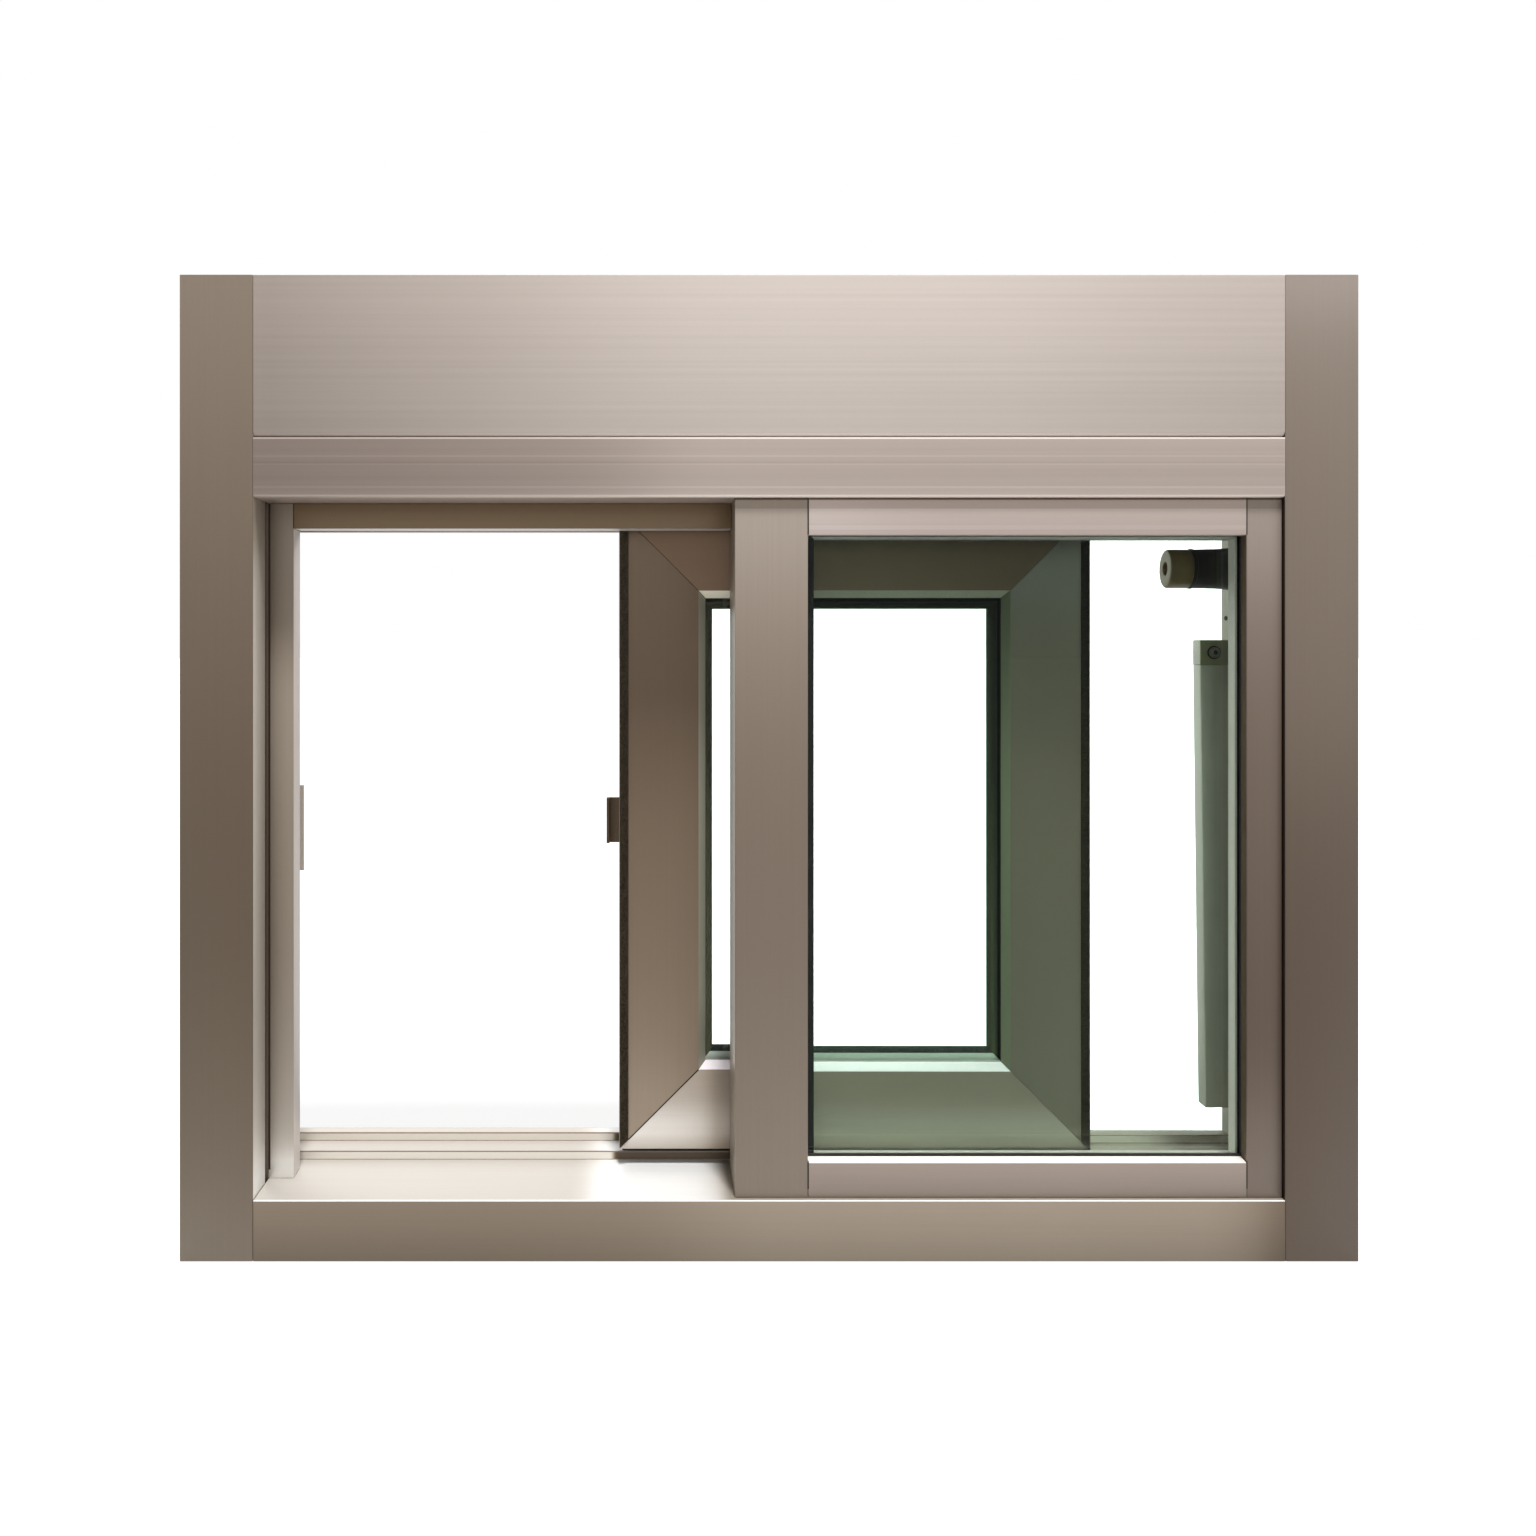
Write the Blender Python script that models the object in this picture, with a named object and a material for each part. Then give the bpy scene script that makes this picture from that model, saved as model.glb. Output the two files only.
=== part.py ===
# Sliding service window: an aluminium frame with a fixed insulated pane on the right and a
# top-hung sash that slides behind it, parked about half open. Metres, +Z up, outside faces -Y.
# The origin is in the middle of the sill's underside, half way through the frame's depth.
# Frame pieces are drawn under an empty on the front plane, so their Y is depth behind it.

import math

import bmesh
import bpy
from mathutils import Vector

# Whole window
WINDOW_WIDTH = 1.2065
WINDOW_HEIGHT = 1.00965
SEAT_GAP = 0.0003
FRAME_WALL = 0.0032
STOP_WALL = 0.0020
EDGE_RADIUS = 0.0010
ARC_STEPS = 2
ROUND_SIDES = 32

# Jambs: wide in front, with a pocket behind that takes the sash and a groove in the reveal
JAMB_WIDTH = 0.0750
POCKET_LEAD = 0.0017
POCKET_STEP = 0.0148
REVEAL_GROOVE_WIDTH = 0.0070
REVEAL_GROOVE_DEPTH = 0.0050

# Sill, with a low rib in front of the sash channel and a wider one behind it
SILL_HEIGHT = 0.0624
SILL_RIB_HEIGHT = 0.0090
FRONT_RIB_SETBACK = 0.0104
FRONT_RIB_WIDTH = 0.0030
REAR_RIB_GAP = 0.0010

# Header box: bar below, snap-on fascia in front, channel over the top and down the back
HEADER_FASCIA_HEIGHT = 0.16625
HEADER_BAR_HEIGHT = 0.0614
HEADER_BAR_LEAD = 0.0020
HEADER_BAR_RADIUS = 0.0030
FASCIA_WALL = 0.0030
FASCIA_TOP_RETURN = 0.0200
FASCIA_BOTTOM_RETURN = 0.0300
FASCIA_RADIUS = 0.0055
HEADER_SKIRT_DROP = 0.0205
HEADER_SKIRT_GAP = 0.0035

# Stops in front of the sash, on the left jamb and under the header
STOP_DEPTH = 0.0183
LEFT_STOP_WIDTH = 0.0264
HEAD_STOP_HEIGHT = 0.0270

# Mullion between the service opening and the fixed pane
MULLION_OFFSET = 0.00315
MULLION_WIDTH = 0.0751
MULLION_POCKET = 0.0147

# Fixed pane and the stops that hold it
FIXED_FACE = 0.0040
FIXED_FLANGE = 0.0085
FIXED_TOP_FACE = 0.0380
FIXED_BOTTOM_FACE = 0.0356
FIXED_BOTTOM_RISE = 0.0022
FIXED_RIGHT_FACE = 0.0361
FIXED_GASKET_THICKNESS = 0.0022
FIXED_PANE = 0.0055
FIXED_AIR = 0.0104
FIXED_BITE = 0.0120
FIXED_POCKET_CLEARANCE = 0.0027
FIXED_SPACER_SHOWS = 0.0020
FIXED_SPACER_LEFT = 0.0092
FIXED_SPACER_DROP = 0.0018
FIXED_INNER_DEPTH = 0.0161
FIXED_INNER_RIGHT_FACE = 0.0183
FIXED_INNER_BOTTOM_FACE = 0.0200
GASKET_WIDTH = 0.0100

# Sliding sash. Its width and height come from where it closes, its place from the bumper.
SASH_MULLION_LAP = 0.0243
SASH_CLOSED_INSET = 0.00555
SASH_PARK_GAP = 0.09765
SASH_RIB_CLEARANCE = 0.0088
SASH_TOP_CLEARANCE = 0.0048
SASH_STOP_GAP = 0.0043
SASH_THICKNESS = 0.0445
SASH_BACK_CLEARANCE = 0.0118
SASH_WALL = 0.0025
SASH_FACE_WIDTH = 0.0868
SASH_SLOPE_WIDTH = 0.0080
SASH_SLOPE_DEPTH = 0.0055
SASH_LIP_EDGE = 0.0010
SASH_GASKET_THICKNESS = 0.0018
SASH_PANE = 0.0040
SASH_AIR = 0.0124
SASH_BITE = 0.0120
SASH_POCKET_CLEARANCE = 0.0025
SASH_SPACER_SHOWS = 0.0086
SASH_SPACER_TOP = 0.0110
SASH_BEAD_SLOPE = 0.0040
PILE_RIM = 0.0010
PILE_WIDTH = 0.0088
PILE_DEPTH = 0.0040
PILE_PROUD = 0.0038
SILL_PILE_START = 0.0130
SILL_PILE_WIDTH = 0.0060
SILL_PILE_DEPTH = 0.0030
SILL_PILE_BRUSH = 0.0042

# Head track and the hangers that run on it
TRACK_WALL = 0.0030
TRACK_SHELF_HEIGHT = 0.0180
TRACK_FLANGE_HEIGHT = 0.0400
TRACK_RAIL_WIDTH = 0.0060
TRACK_RAIL_HEIGHT = 0.0060
HANGER_LENGTH = 0.0700
HANGER_INSET = 0.0450
HANGER_PLATE = 0.0030
HANGER_FOOT_WIDTH = 0.0270
HANGER_RUNNING_GAP = 0.0050
HANGER_TOP_MARGIN = 0.0100
WHEEL_TREAD_RADIUS = 0.0120
WHEEL_FLANGE_RADIUS = 0.0150
WHEEL_WIDTH = 0.0110
WHEEL_TREAD_WIDTH = 0.0075
AXLE_RADIUS = 0.0040

# Guide shoe under the sash, in the channel between the sill's ribs
SHOE_LENGTH = 0.0600
SHOE_CLEARANCE = 0.0008
SHOE_RADIUS = 0.0040

# Latch on the back of the left stile, its keeper in the left pocket, and the pull
LATCH_RISE = 0.0003
LATCH_HEIGHT = 0.0520
LATCH_REACH = 0.0158
LATCH_BODY_WIDTH = 0.0420
LATCH_BODY_INSET = 0.0010
LATCH_BACK_GAP = 0.0008
LATCH_LIP = 0.0034
LATCH_LIP_DEPTH = 0.0075
LATCH_WEB = 0.0025
KEEPER_DROP = 0.00745
KEEPER_HEIGHT = 0.0977
KEEPER_REACH = 0.0247
KEEPER_PLATE = 0.0025
KEEPER_SETBACK = 0.0005
KEEPER_BACK_GAP = 0.0018
PULL_GAP = 0.0455
PULL_LENGTH = 0.1600
PULL_INSET = 0.0150
PULL_WIDTH = 0.0260
PULL_BACK_GAP = 0.0010
PULL_PLATE = 0.0024

# Bumper on the right pocket wall, on the line of the sash's right stile
BUMPER_DROP = 0.0657
BUMPER_POCKET_GAP = 0.0019
BUMPER_TIP_LENGTH = 0.0255
BUMPER_BASE_LENGTH = 0.0615
BUMPER_RADIUS = 0.0216
BUMPER_FLARE_RADIUS = 0.0258
BUMPER_FLANGE = 0.0060
BUMPER_HOLE_RADIUS = 0.0075
BUMPER_HOLE_DEPTH = 0.0120
BUMPER_TIP_RADIUS = 0.0025

# Security bar hanging from its block in the right pocket
BAR_DROP = 0.1454
BAR_WALL_GAP = 0.0220
BAR_FLOOR_CLEARANCE = 0.0518
BAR_WIDTH = 0.0381
BAR_THICKNESS = 0.0127
BAR_SETBACK = 0.0080
BAR_BLOCK_HEIGHT = 0.0276
BAR_WALL = 0.0020
BAR_LEAN = math.radians(0.65)

# Finishes: colour, roughness, metallic, transmission
FINISHES = {
    "anodised_aluminium": ((0.40, 0.34, 0.30), 0.42, 0.85, 0.0),
    "mill_aluminium": ((0.62, 0.62, 0.60), 0.35, 0.90, 0.0),
    "clear_glass": ((0.80, 0.92, 0.86), 0.03, 0.00, 0.95),
    "black_gasket": ((0.012, 0.012, 0.011), 0.75, 0.00, 0.0),
    "brush_pile": ((0.020, 0.017, 0.014), 0.95, 0.00, 0.0),
    "zinc_steel": ((0.35, 0.33, 0.30), 0.40, 0.90, 0.0),
    "nylon": ((0.03, 0.03, 0.03), 0.50, 0.00, 0.0),
    "black_rubber": ((0.015, 0.013, 0.012), 0.55, 0.00, 0.0),
    "amber_rubber": ((0.20, 0.13, 0.07), 0.35, 0.00, 0.3),
}

# Places that several pieces share
HALF_OPENING = WINDOW_WIDTH / 2 - JAMB_WIDTH
HALF_POCKET = HALF_OPENING + POCKET_STEP
MULLION_LEFT = MULLION_OFFSET - MULLION_WIDTH / 2
MULLION_RIGHT = MULLION_LEFT + MULLION_WIDTH
RIB_TOP = SILL_HEIGHT + SILL_RIB_HEIGHT
HEADER_BAR_TOP = WINDOW_HEIGHT - HEADER_FASCIA_HEIGHT
OPENING_TOP = HEADER_BAR_TOP - HEADER_BAR_HEIGHT
HEADER_SKIRT_BOTTOM = OPENING_TOP - HEADER_SKIRT_DROP
FIXED_BOTTOM = SILL_HEIGHT + SEAT_GAP
FIXED_TOP = OPENING_TOP - SEAT_GAP
FIXED_RIGHT = HALF_OPENING - SEAT_GAP
SIGHT_LEFT = MULLION_RIGHT
SIGHT_RIGHT = FIXED_RIGHT - FIXED_RIGHT_FACE
SIGHT_BOTTOM = FIXED_BOTTOM + FIXED_BOTTOM_FACE
SIGHT_TOP = FIXED_TOP - FIXED_TOP_FACE
FIXED_FLANGE_BACK = FIXED_FACE + FIXED_FLANGE
FIXED_GLASS_START = FIXED_FLANGE_BACK + FIXED_GASKET_THICKNESS + 2 * SEAT_GAP
FIXED_SPACER_START = FIXED_GLASS_START + FIXED_PANE + SEAT_GAP
FIXED_INNER_PANE_START = FIXED_SPACER_START + FIXED_AIR + SEAT_GAP
FIXED_GLASS_END = FIXED_INNER_PANE_START + FIXED_PANE
FIXED_INNER_START = FIXED_GLASS_END + SEAT_GAP
FIXED_INNER_BACK = FIXED_INNER_START + FIXED_INNER_DEPTH
STOP_START = FIXED_INNER_BACK - STOP_DEPTH
REVEAL_GROOVE_START = STOP_START - REVEAL_GROOVE_WIDTH
SASH_FACE = FIXED_INNER_BACK + SASH_STOP_GAP
SASH_BACK = SASH_FACE + SASH_THICKNESS
FRAME_DEPTH = SASH_BACK + SASH_BACK_CLEARANCE
HEADER_BAR_DEPTH = SASH_FACE - HEADER_BAR_LEAD
POCKET_START = SASH_FACE - POCKET_LEAD
FRONT_RIB_START = SASH_FACE + FRONT_RIB_SETBACK
REAR_RIB_START = SASH_BACK + REAR_RIB_GAP
HEADER_SKIRT_START = SASH_BACK + HEADER_SKIRT_GAP
TRACK_RAIL_CENTRE = SASH_FACE + SASH_THICKNESS / 2
BUMPER_END = HALF_POCKET - BUMPER_BASE_LENGTH - BUMPER_TIP_LENGTH - 2 * SEAT_GAP
SASH_WIDTH = MULLION_LEFT + SASH_MULLION_LAP + HALF_OPENING - SASH_CLOSED_INSET
SASH_LEFT = BUMPER_END - SASH_PARK_GAP - SASH_WIDTH
SASH_BOTTOM = RIB_TOP + SASH_RIB_CLEARANCE
SASH_HEIGHT = OPENING_TOP - SASH_TOP_CLEARANCE - SASH_BOTTOM
SASH_SIGHT = SASH_FACE_WIDTH + SASH_SLOPE_WIDTH
SASH_TUBE_WIDTH = SASH_SIGHT - SASH_BITE - SASH_POCKET_CLEARANCE
SASH_LIP_BACK = SASH_SLOPE_DEPTH + SASH_LIP_EDGE
SASH_GLASS_START = SASH_LIP_BACK + SASH_GASKET_THICKNESS + 2 * SEAT_GAP
SASH_SPACER_START = SASH_GLASS_START + SASH_PANE + SEAT_GAP
SASH_INNER_PANE_START = SASH_SPACER_START + SASH_AIR + SEAT_GAP
SASH_BEAD_START = SASH_INNER_PANE_START + SASH_PANE + SEAT_GAP
MITRE_GAP = SEAT_GAP * math.sqrt(2)
LATCH_DEPTH = SASH_BACK_CLEARANCE - SEAT_GAP - LATCH_BACK_GAP
LATCH_BOTTOM = (SASH_HEIGHT - LATCH_HEIGHT) / 2 + LATCH_RISE
LATCH_TOP = LATCH_BOTTOM + LATCH_HEIGHT
KEEPER_BOTTOM = SASH_BOTTOM + (LATCH_BOTTOM + LATCH_TOP - KEEPER_HEIGHT) / 2 - KEEPER_DROP
KEEPER_START = SASH_BACK + KEEPER_SETBACK
KEEPER_DEPTH = FRAME_DEPTH - KEEPER_BACK_GAP - KEEPER_START
PULL_BOTTOM = LATCH_TOP + PULL_GAP
PULL_HEIGHT = SASH_BACK_CLEARANCE - SEAT_GAP - PULL_BACK_GAP
BUMPER_HEIGHT = OPENING_TOP - BUMPER_DROP
BUMPER_DEPTH = POCKET_START + BUMPER_FLARE_RADIUS + BUMPER_POCKET_GAP
BAR_START = SASH_FACE + BAR_SETBACK
BAR_LEFT = HALF_POCKET - BAR_WALL_GAP - BAR_WIDTH
BAR_BLOCK_TOP = OPENING_TOP - BAR_DROP
BAR_BLOCK_BOTTOM = BAR_BLOCK_TOP - BAR_BLOCK_HEIGHT
BAR_TOP = BAR_BLOCK_BOTTOM - SEAT_GAP - BAR_WIDTH * math.sin(BAR_LEAN)
BAR_LENGTH = BAR_TOP - RIB_TOP - BAR_FLOOR_CLEARANCE


def clear_scene():
    for item in list(bpy.data.objects):
        bpy.data.objects.remove(item)


def make_finish(name):
    colour, roughness, metallic, transmission = FINISHES[name]
    finish = bpy.data.materials.new(name)
    finish.use_nodes = True
    shader = finish.node_tree.nodes["Principled BSDF"]
    shader.inputs["Base Color"].default_value = (*colour, 1.0)
    shader.inputs["Roughness"].default_value = roughness
    shader.inputs["Metallic"].default_value = metallic
    shader.inputs["Transmission Weight"].default_value = transmission
    finish.diffuse_color = (*colour, 1.0)
    return finish


def add_empty(name, location, parent=None):
    empty = bpy.data.objects.new(name, None)
    empty.location = location
    empty.parent = parent
    bpy.context.scene.collection.objects.link(empty)
    return empty


def add_object(name, bm, finish, parent, location=(0.0, 0.0, 0.0)):
    bmesh.ops.recalc_face_normals(bm, faces=bm.faces)
    mesh = bpy.data.meshes.new(name)
    bm.to_mesh(mesh)
    bm.free()
    mesh.materials.append(bpy.data.materials[finish])
    item = bpy.data.objects.new(name, mesh)
    item.location = location
    item.parent = parent
    bpy.context.scene.collection.objects.link(item)
    return item


def rectangle(low, high):
    return [(low[0], low[1]), (high[0], low[1]), (high[0], high[1]), (low[0], high[1])]


def rounded(outline, radii):
    # radii maps a corner's number to the radius of the arc that takes its place
    result = []
    for number, corner in enumerate(outline):
        if number not in radii:
            result.append(corner)
            continue
        here = Vector(corner)
        back = (Vector(outline[number - 1]) - here).normalized()
        ahead = (Vector(outline[(number + 1) % len(outline)]) - here).normalized()
        half_angle = back.angle(ahead) / 2
        centre = here + (back + ahead).normalized() * radii[number] / math.sin(half_angle)
        first = here + back * radii[number] / math.tan(half_angle) - centre
        last = here + ahead * radii[number] / math.tan(half_angle) - centre
        for step in range(ARC_STEPS + 1):
            spoke = first.lerp(last, step / ARC_STEPS).normalized() * radii[number]
            result.append(tuple(centre + spoke))
    return result


def softened(outline, corners):
    return rounded(outline, {number: EDGE_RADIUS for number in corners})


# A section is drawn as (x, depth) along Z, (depth, z) along X and (x, z) along Y
PLACE = {
    "Z": lambda a, b, along: (a, b, along),
    "X": lambda a, b, along: (along, a, b),
    "Y": lambda a, b, along: (a, along, b),
}


def add_extrusion(name, finish, loops, start, end, direction, parent):
    # The first loop is the outside and the rest are hollows. start and end are numbers, or
    # functions of the section's point where an end is cut on a mitre.
    place = PLACE[direction]
    bm = bmesh.new()
    rims = ([], [])
    for loop in loops:
        rings = []
        for reach in (start, end):
            ring = [
                bm.verts.new(place(a, b, reach(a, b) if callable(reach) else reach))
                for a, b in loop
            ]
            rings.append(ring)
        near, far = rings
        for number in range(len(loop)):
            bm.faces.new((near[number - 1], near[number], far[number], far[number - 1]))
            rims[0].append(bm.edges.get((near[number - 1], near[number])))
            rims[1].append(bm.edges.get((far[number - 1], far[number])))
    for rim in rims:
        bmesh.ops.triangle_fill(bm, use_beauty=True, use_dissolve=False, edges=rim)
    return add_object(name, bm, finish, parent)


def add_block(name, finish, low, high, parent):
    section = rectangle(low[:2], high[:2])
    return add_extrusion(name, finish, [section], low[2], high[2], "Z", parent)


def add_turning(name, finish, outline, location, direction, parent):
    # The outline is (radius, along), and its first and last points lie on the axis
    place = PLACE[direction]
    bm = bmesh.new()
    rings = []
    for radius, along in outline[1:-1]:
        ring = []
        for number in range(ROUND_SIDES):
            angle = 2 * math.pi * number / ROUND_SIDES
            point = place(radius * math.cos(angle), radius * math.sin(angle), along)
            ring.append(bm.verts.new(point))
        rings.append(ring)
    for near, far in zip(rings, rings[1:]):
        for number in range(ROUND_SIDES):
            bm.faces.new((near[number - 1], near[number], far[number], far[number - 1]))
    for (_, along), ring in ((outline[0], rings[0]), (outline[-1], rings[-1])):
        pole = bm.verts.new(place(0.0, 0.0, along))
        for number in range(ROUND_SIDES):
            bm.faces.new((ring[number - 1], ring[number], pole))
    turned = add_object(name, bm, finish, parent, location)
    turned.data.shade_smooth()
    turned.data.set_sharp_from_angle(angle=math.radians(30))
    return turned


def add_boolean(item, tool, operation):
    tool.hide_render = True
    tool.display_type = "WIRE"
    modifier = item.modifiers.new(tool.name, "BOOLEAN")
    modifier.operation = operation
    modifier.object = tool


def mirrored(outline):
    return [(-a, b) for a, b in reversed(outline)]


def cut_end_notches(item, low, high, parent):
    # Cuts the front corners off both ends, so that the piece fits round the jambs' reveals
    for side, sign in (("left", -1), ("right", 1)):
        ends = sorted((sign * (HALF_OPENING - SEAT_GAP), sign * (HALF_POCKET + FRAME_WALL)))
        notch = add_block(
            f"{item.name}_notch_{side}",
            "anodised_aluminium",
            (ends[0], -FRAME_WALL, low - FRAME_WALL),
            (ends[1], POCKET_START + SEAT_GAP, high + FRAME_WALL),
            parent,
        )
        add_boolean(item, notch, "DIFFERENCE")


def make_jambs(parent):
    outer = WINDOW_WIDTH / 2
    groove_end = REVEAL_GROOVE_START + REVEAL_GROOVE_WIDTH
    groove_floor = HALF_OPENING + REVEAL_GROOVE_DEPTH
    outline = [
        (HALF_OPENING, 0.0),
        (outer, 0.0),
        (outer, FRAME_DEPTH),
        (HALF_POCKET, FRAME_DEPTH),
        (HALF_POCKET, POCKET_START),
        (HALF_OPENING, POCKET_START),
        (HALF_OPENING, groove_end),
        (groove_floor, groove_end),
        (groove_floor, REVEAL_GROOVE_START),
        (HALF_OPENING, REVEAL_GROOVE_START),
    ]
    outline = softened(outline, (0, 1, 2, 3, 5))
    hollow_side = HALF_POCKET + FRAME_WALL
    hollow = rectangle(
        (hollow_side, FRAME_WALL), (outer - FRAME_WALL, FRAME_DEPTH - FRAME_WALL)
    )
    for name, turn in (("left_jamb", mirrored), ("right_jamb", list)):
        loops = [turn(outline), turn(hollow)]
        add_extrusion(name, "anodised_aluminium", loops, 0.0, WINDOW_HEIGHT, "Z", parent)


def make_sill(parent):
    rib_end = FRONT_RIB_START + FRONT_RIB_WIDTH
    outline = [
        (0.0, 0.0),
        (FRAME_DEPTH, 0.0),
        (FRAME_DEPTH, RIB_TOP),
        (REAR_RIB_START, RIB_TOP),
        (REAR_RIB_START, SILL_HEIGHT),
        (rib_end, SILL_HEIGHT),
        (rib_end, RIB_TOP),
        (FRONT_RIB_START, RIB_TOP),
        (FRONT_RIB_START, SILL_HEIGHT),
        (0.0, SILL_HEIGHT),
    ]
    hollow = rectangle(
        (FRAME_WALL, FRAME_WALL), (FRAME_DEPTH - FRAME_WALL, SILL_HEIGHT - FRAME_WALL)
    )
    reach = HALF_POCKET - SEAT_GAP
    loops = [softened(outline, (2, 3, 6, 7, 9)), hollow]
    sill = add_extrusion("sill", "anodised_aluminium", loops, -reach, reach, "X", parent)
    cut_end_notches(sill, 0.0, RIB_TOP, parent)


def make_header(parent):
    reach = HALF_OPENING - SEAT_GAP
    bar = rounded(
        rectangle((0.0, OPENING_TOP), (HEADER_BAR_DEPTH, HEADER_BAR_TOP)),
        {0: HEADER_BAR_RADIUS, 3: EDGE_RADIUS},
    )
    bar_hollow = rectangle(
        (FRAME_WALL, OPENING_TOP + FRAME_WALL),
        (HEADER_BAR_DEPTH - FRAME_WALL, HEADER_BAR_TOP - FRAME_WALL),
    )
    add_extrusion(
        "header_bar", "anodised_aluminium", [bar, bar_hollow], -reach, reach, "X", parent
    )
    low = HEADER_BAR_TOP + SEAT_GAP
    fascia = [
        (0.0, low),
        (FASCIA_BOTTOM_RETURN, low),
        (FASCIA_BOTTOM_RETURN, low + FASCIA_WALL),
        (FASCIA_WALL, low + FASCIA_WALL),
        (FASCIA_WALL, WINDOW_HEIGHT - FASCIA_WALL),
        (FASCIA_TOP_RETURN, WINDOW_HEIGHT - FASCIA_WALL),
        (FASCIA_TOP_RETURN, WINDOW_HEIGHT),
        (0.0, WINDOW_HEIGHT),
    ]
    inner_radius = FASCIA_RADIUS - FASCIA_WALL
    fascia = rounded(fascia, {0: FASCIA_RADIUS, 3: inner_radius, 7: EDGE_RADIUS})
    add_extrusion(
        "header_fascia", "anodised_aluminium", [fascia], -reach, reach, "X", parent
    )
    start = FASCIA_TOP_RETURN + SEAT_GAP
    back_wall = FRAME_DEPTH - FRAME_WALL
    channel = [
        (start, WINDOW_HEIGHT - FRAME_WALL),
        (back_wall, WINDOW_HEIGHT - FRAME_WALL),
        (back_wall, HEADER_SKIRT_BOTTOM + FRAME_WALL),
        (HEADER_SKIRT_START, HEADER_SKIRT_BOTTOM + FRAME_WALL),
        (HEADER_SKIRT_START, HEADER_SKIRT_BOTTOM),
        (FRAME_DEPTH, HEADER_SKIRT_BOTTOM),
        (FRAME_DEPTH, WINDOW_HEIGHT),
        (start, WINDOW_HEIGHT),
    ]
    channel_reach = HALF_POCKET - SEAT_GAP
    header_channel = add_extrusion(
        "header_channel",
        "anodised_aluminium",
        [softened(channel, (5, 6))],
        -channel_reach,
        channel_reach,
        "X",
        parent,
    )
    cut_end_notches(header_channel, HEADER_SKIRT_BOTTOM, WINDOW_HEIGHT, parent)


def make_head_track(parent):
    start = HEADER_BAR_DEPTH + SEAT_GAP
    shelf = OPENING_TOP + TRACK_SHELF_HEIGHT
    rail_back = TRACK_RAIL_CENTRE + TRACK_RAIL_WIDTH / 2
    rail_front = TRACK_RAIL_CENTRE - TRACK_RAIL_WIDTH / 2
    rail_top = shelf + TRACK_WALL + TRACK_RAIL_HEIGHT
    outline = [
        (start, shelf),
        (rail_back, shelf),
        (rail_back, rail_top),
        (rail_front, rail_top),
        (rail_front, shelf + TRACK_WALL),
        (start + TRACK_WALL, shelf + TRACK_WALL),
        (start + TRACK_WALL, shelf + TRACK_FLANGE_HEIGHT),
        (start, shelf + TRACK_FLANGE_HEIGHT),
    ]
    outline = rounded(outline, {2: TRACK_RAIL_WIDTH / 3, 3: TRACK_RAIL_WIDTH / 3})
    reach = HALF_POCKET - SEAT_GAP
    add_extrusion("head_track", "mill_aluminium", [outline], -reach, reach, "X", parent)


def make_stops(parent):
    left = -HALF_OPENING + SEAT_GAP
    low, high = (left, STOP_START), (left + LEFT_STOP_WIDTH, STOP_START + STOP_DEPTH)
    outline = softened(rectangle(low, high), (1, 2))
    hollow = rectangle(
        (low[0] + STOP_WALL, low[1] + STOP_WALL), (high[0] - STOP_WALL, high[1] - STOP_WALL)
    )
    head_bottom = OPENING_TOP - HEAD_STOP_HEIGHT
    add_extrusion(
        "left_stop",
        "anodised_aluminium",
        [outline, hollow],
        SILL_HEIGHT + SEAT_GAP,
        OPENING_TOP - SEAT_GAP,
        "Z",
        parent,
    )
    low = (STOP_START, head_bottom)
    high = (STOP_START + STOP_DEPTH, OPENING_TOP - SEAT_GAP)
    outline = softened(rectangle(low, high), (0, 1))
    hollow = rectangle(
        (low[0] + STOP_WALL, low[1] + STOP_WALL), (high[0] - STOP_WALL, high[1] - STOP_WALL)
    )
    add_extrusion(
        "head_stop",
        "anodised_aluminium",
        [outline, hollow],
        left + LEFT_STOP_WIDTH + SEAT_GAP,
        MULLION_LEFT - SEAT_GAP,
        "X",
        parent,
    )


def make_mullion(parent):
    pocket = MULLION_RIGHT - MULLION_POCKET
    outline = [
        (MULLION_LEFT, FIXED_FACE),
        (MULLION_RIGHT, FIXED_FACE),
        (MULLION_RIGHT, FIXED_FLANGE_BACK),
        (pocket, FIXED_FLANGE_BACK),
        (pocket, FIXED_INNER_START),
        (MULLION_RIGHT, FIXED_INNER_START),
        (MULLION_RIGHT, FIXED_INNER_BACK),
        (MULLION_LEFT, FIXED_INNER_BACK),
    ]
    hollow = rectangle(
        (MULLION_LEFT + FRAME_WALL, FIXED_FACE + FRAME_WALL),
        (pocket - FRAME_WALL, FIXED_INNER_BACK - FRAME_WALL),
    )
    loops = [softened(outline, (0, 1, 6, 7)), hollow]
    add_extrusion(
        "mullion", "anodised_aluminium", loops, FIXED_BOTTOM, FIXED_TOP, "Z", parent
    )


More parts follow.
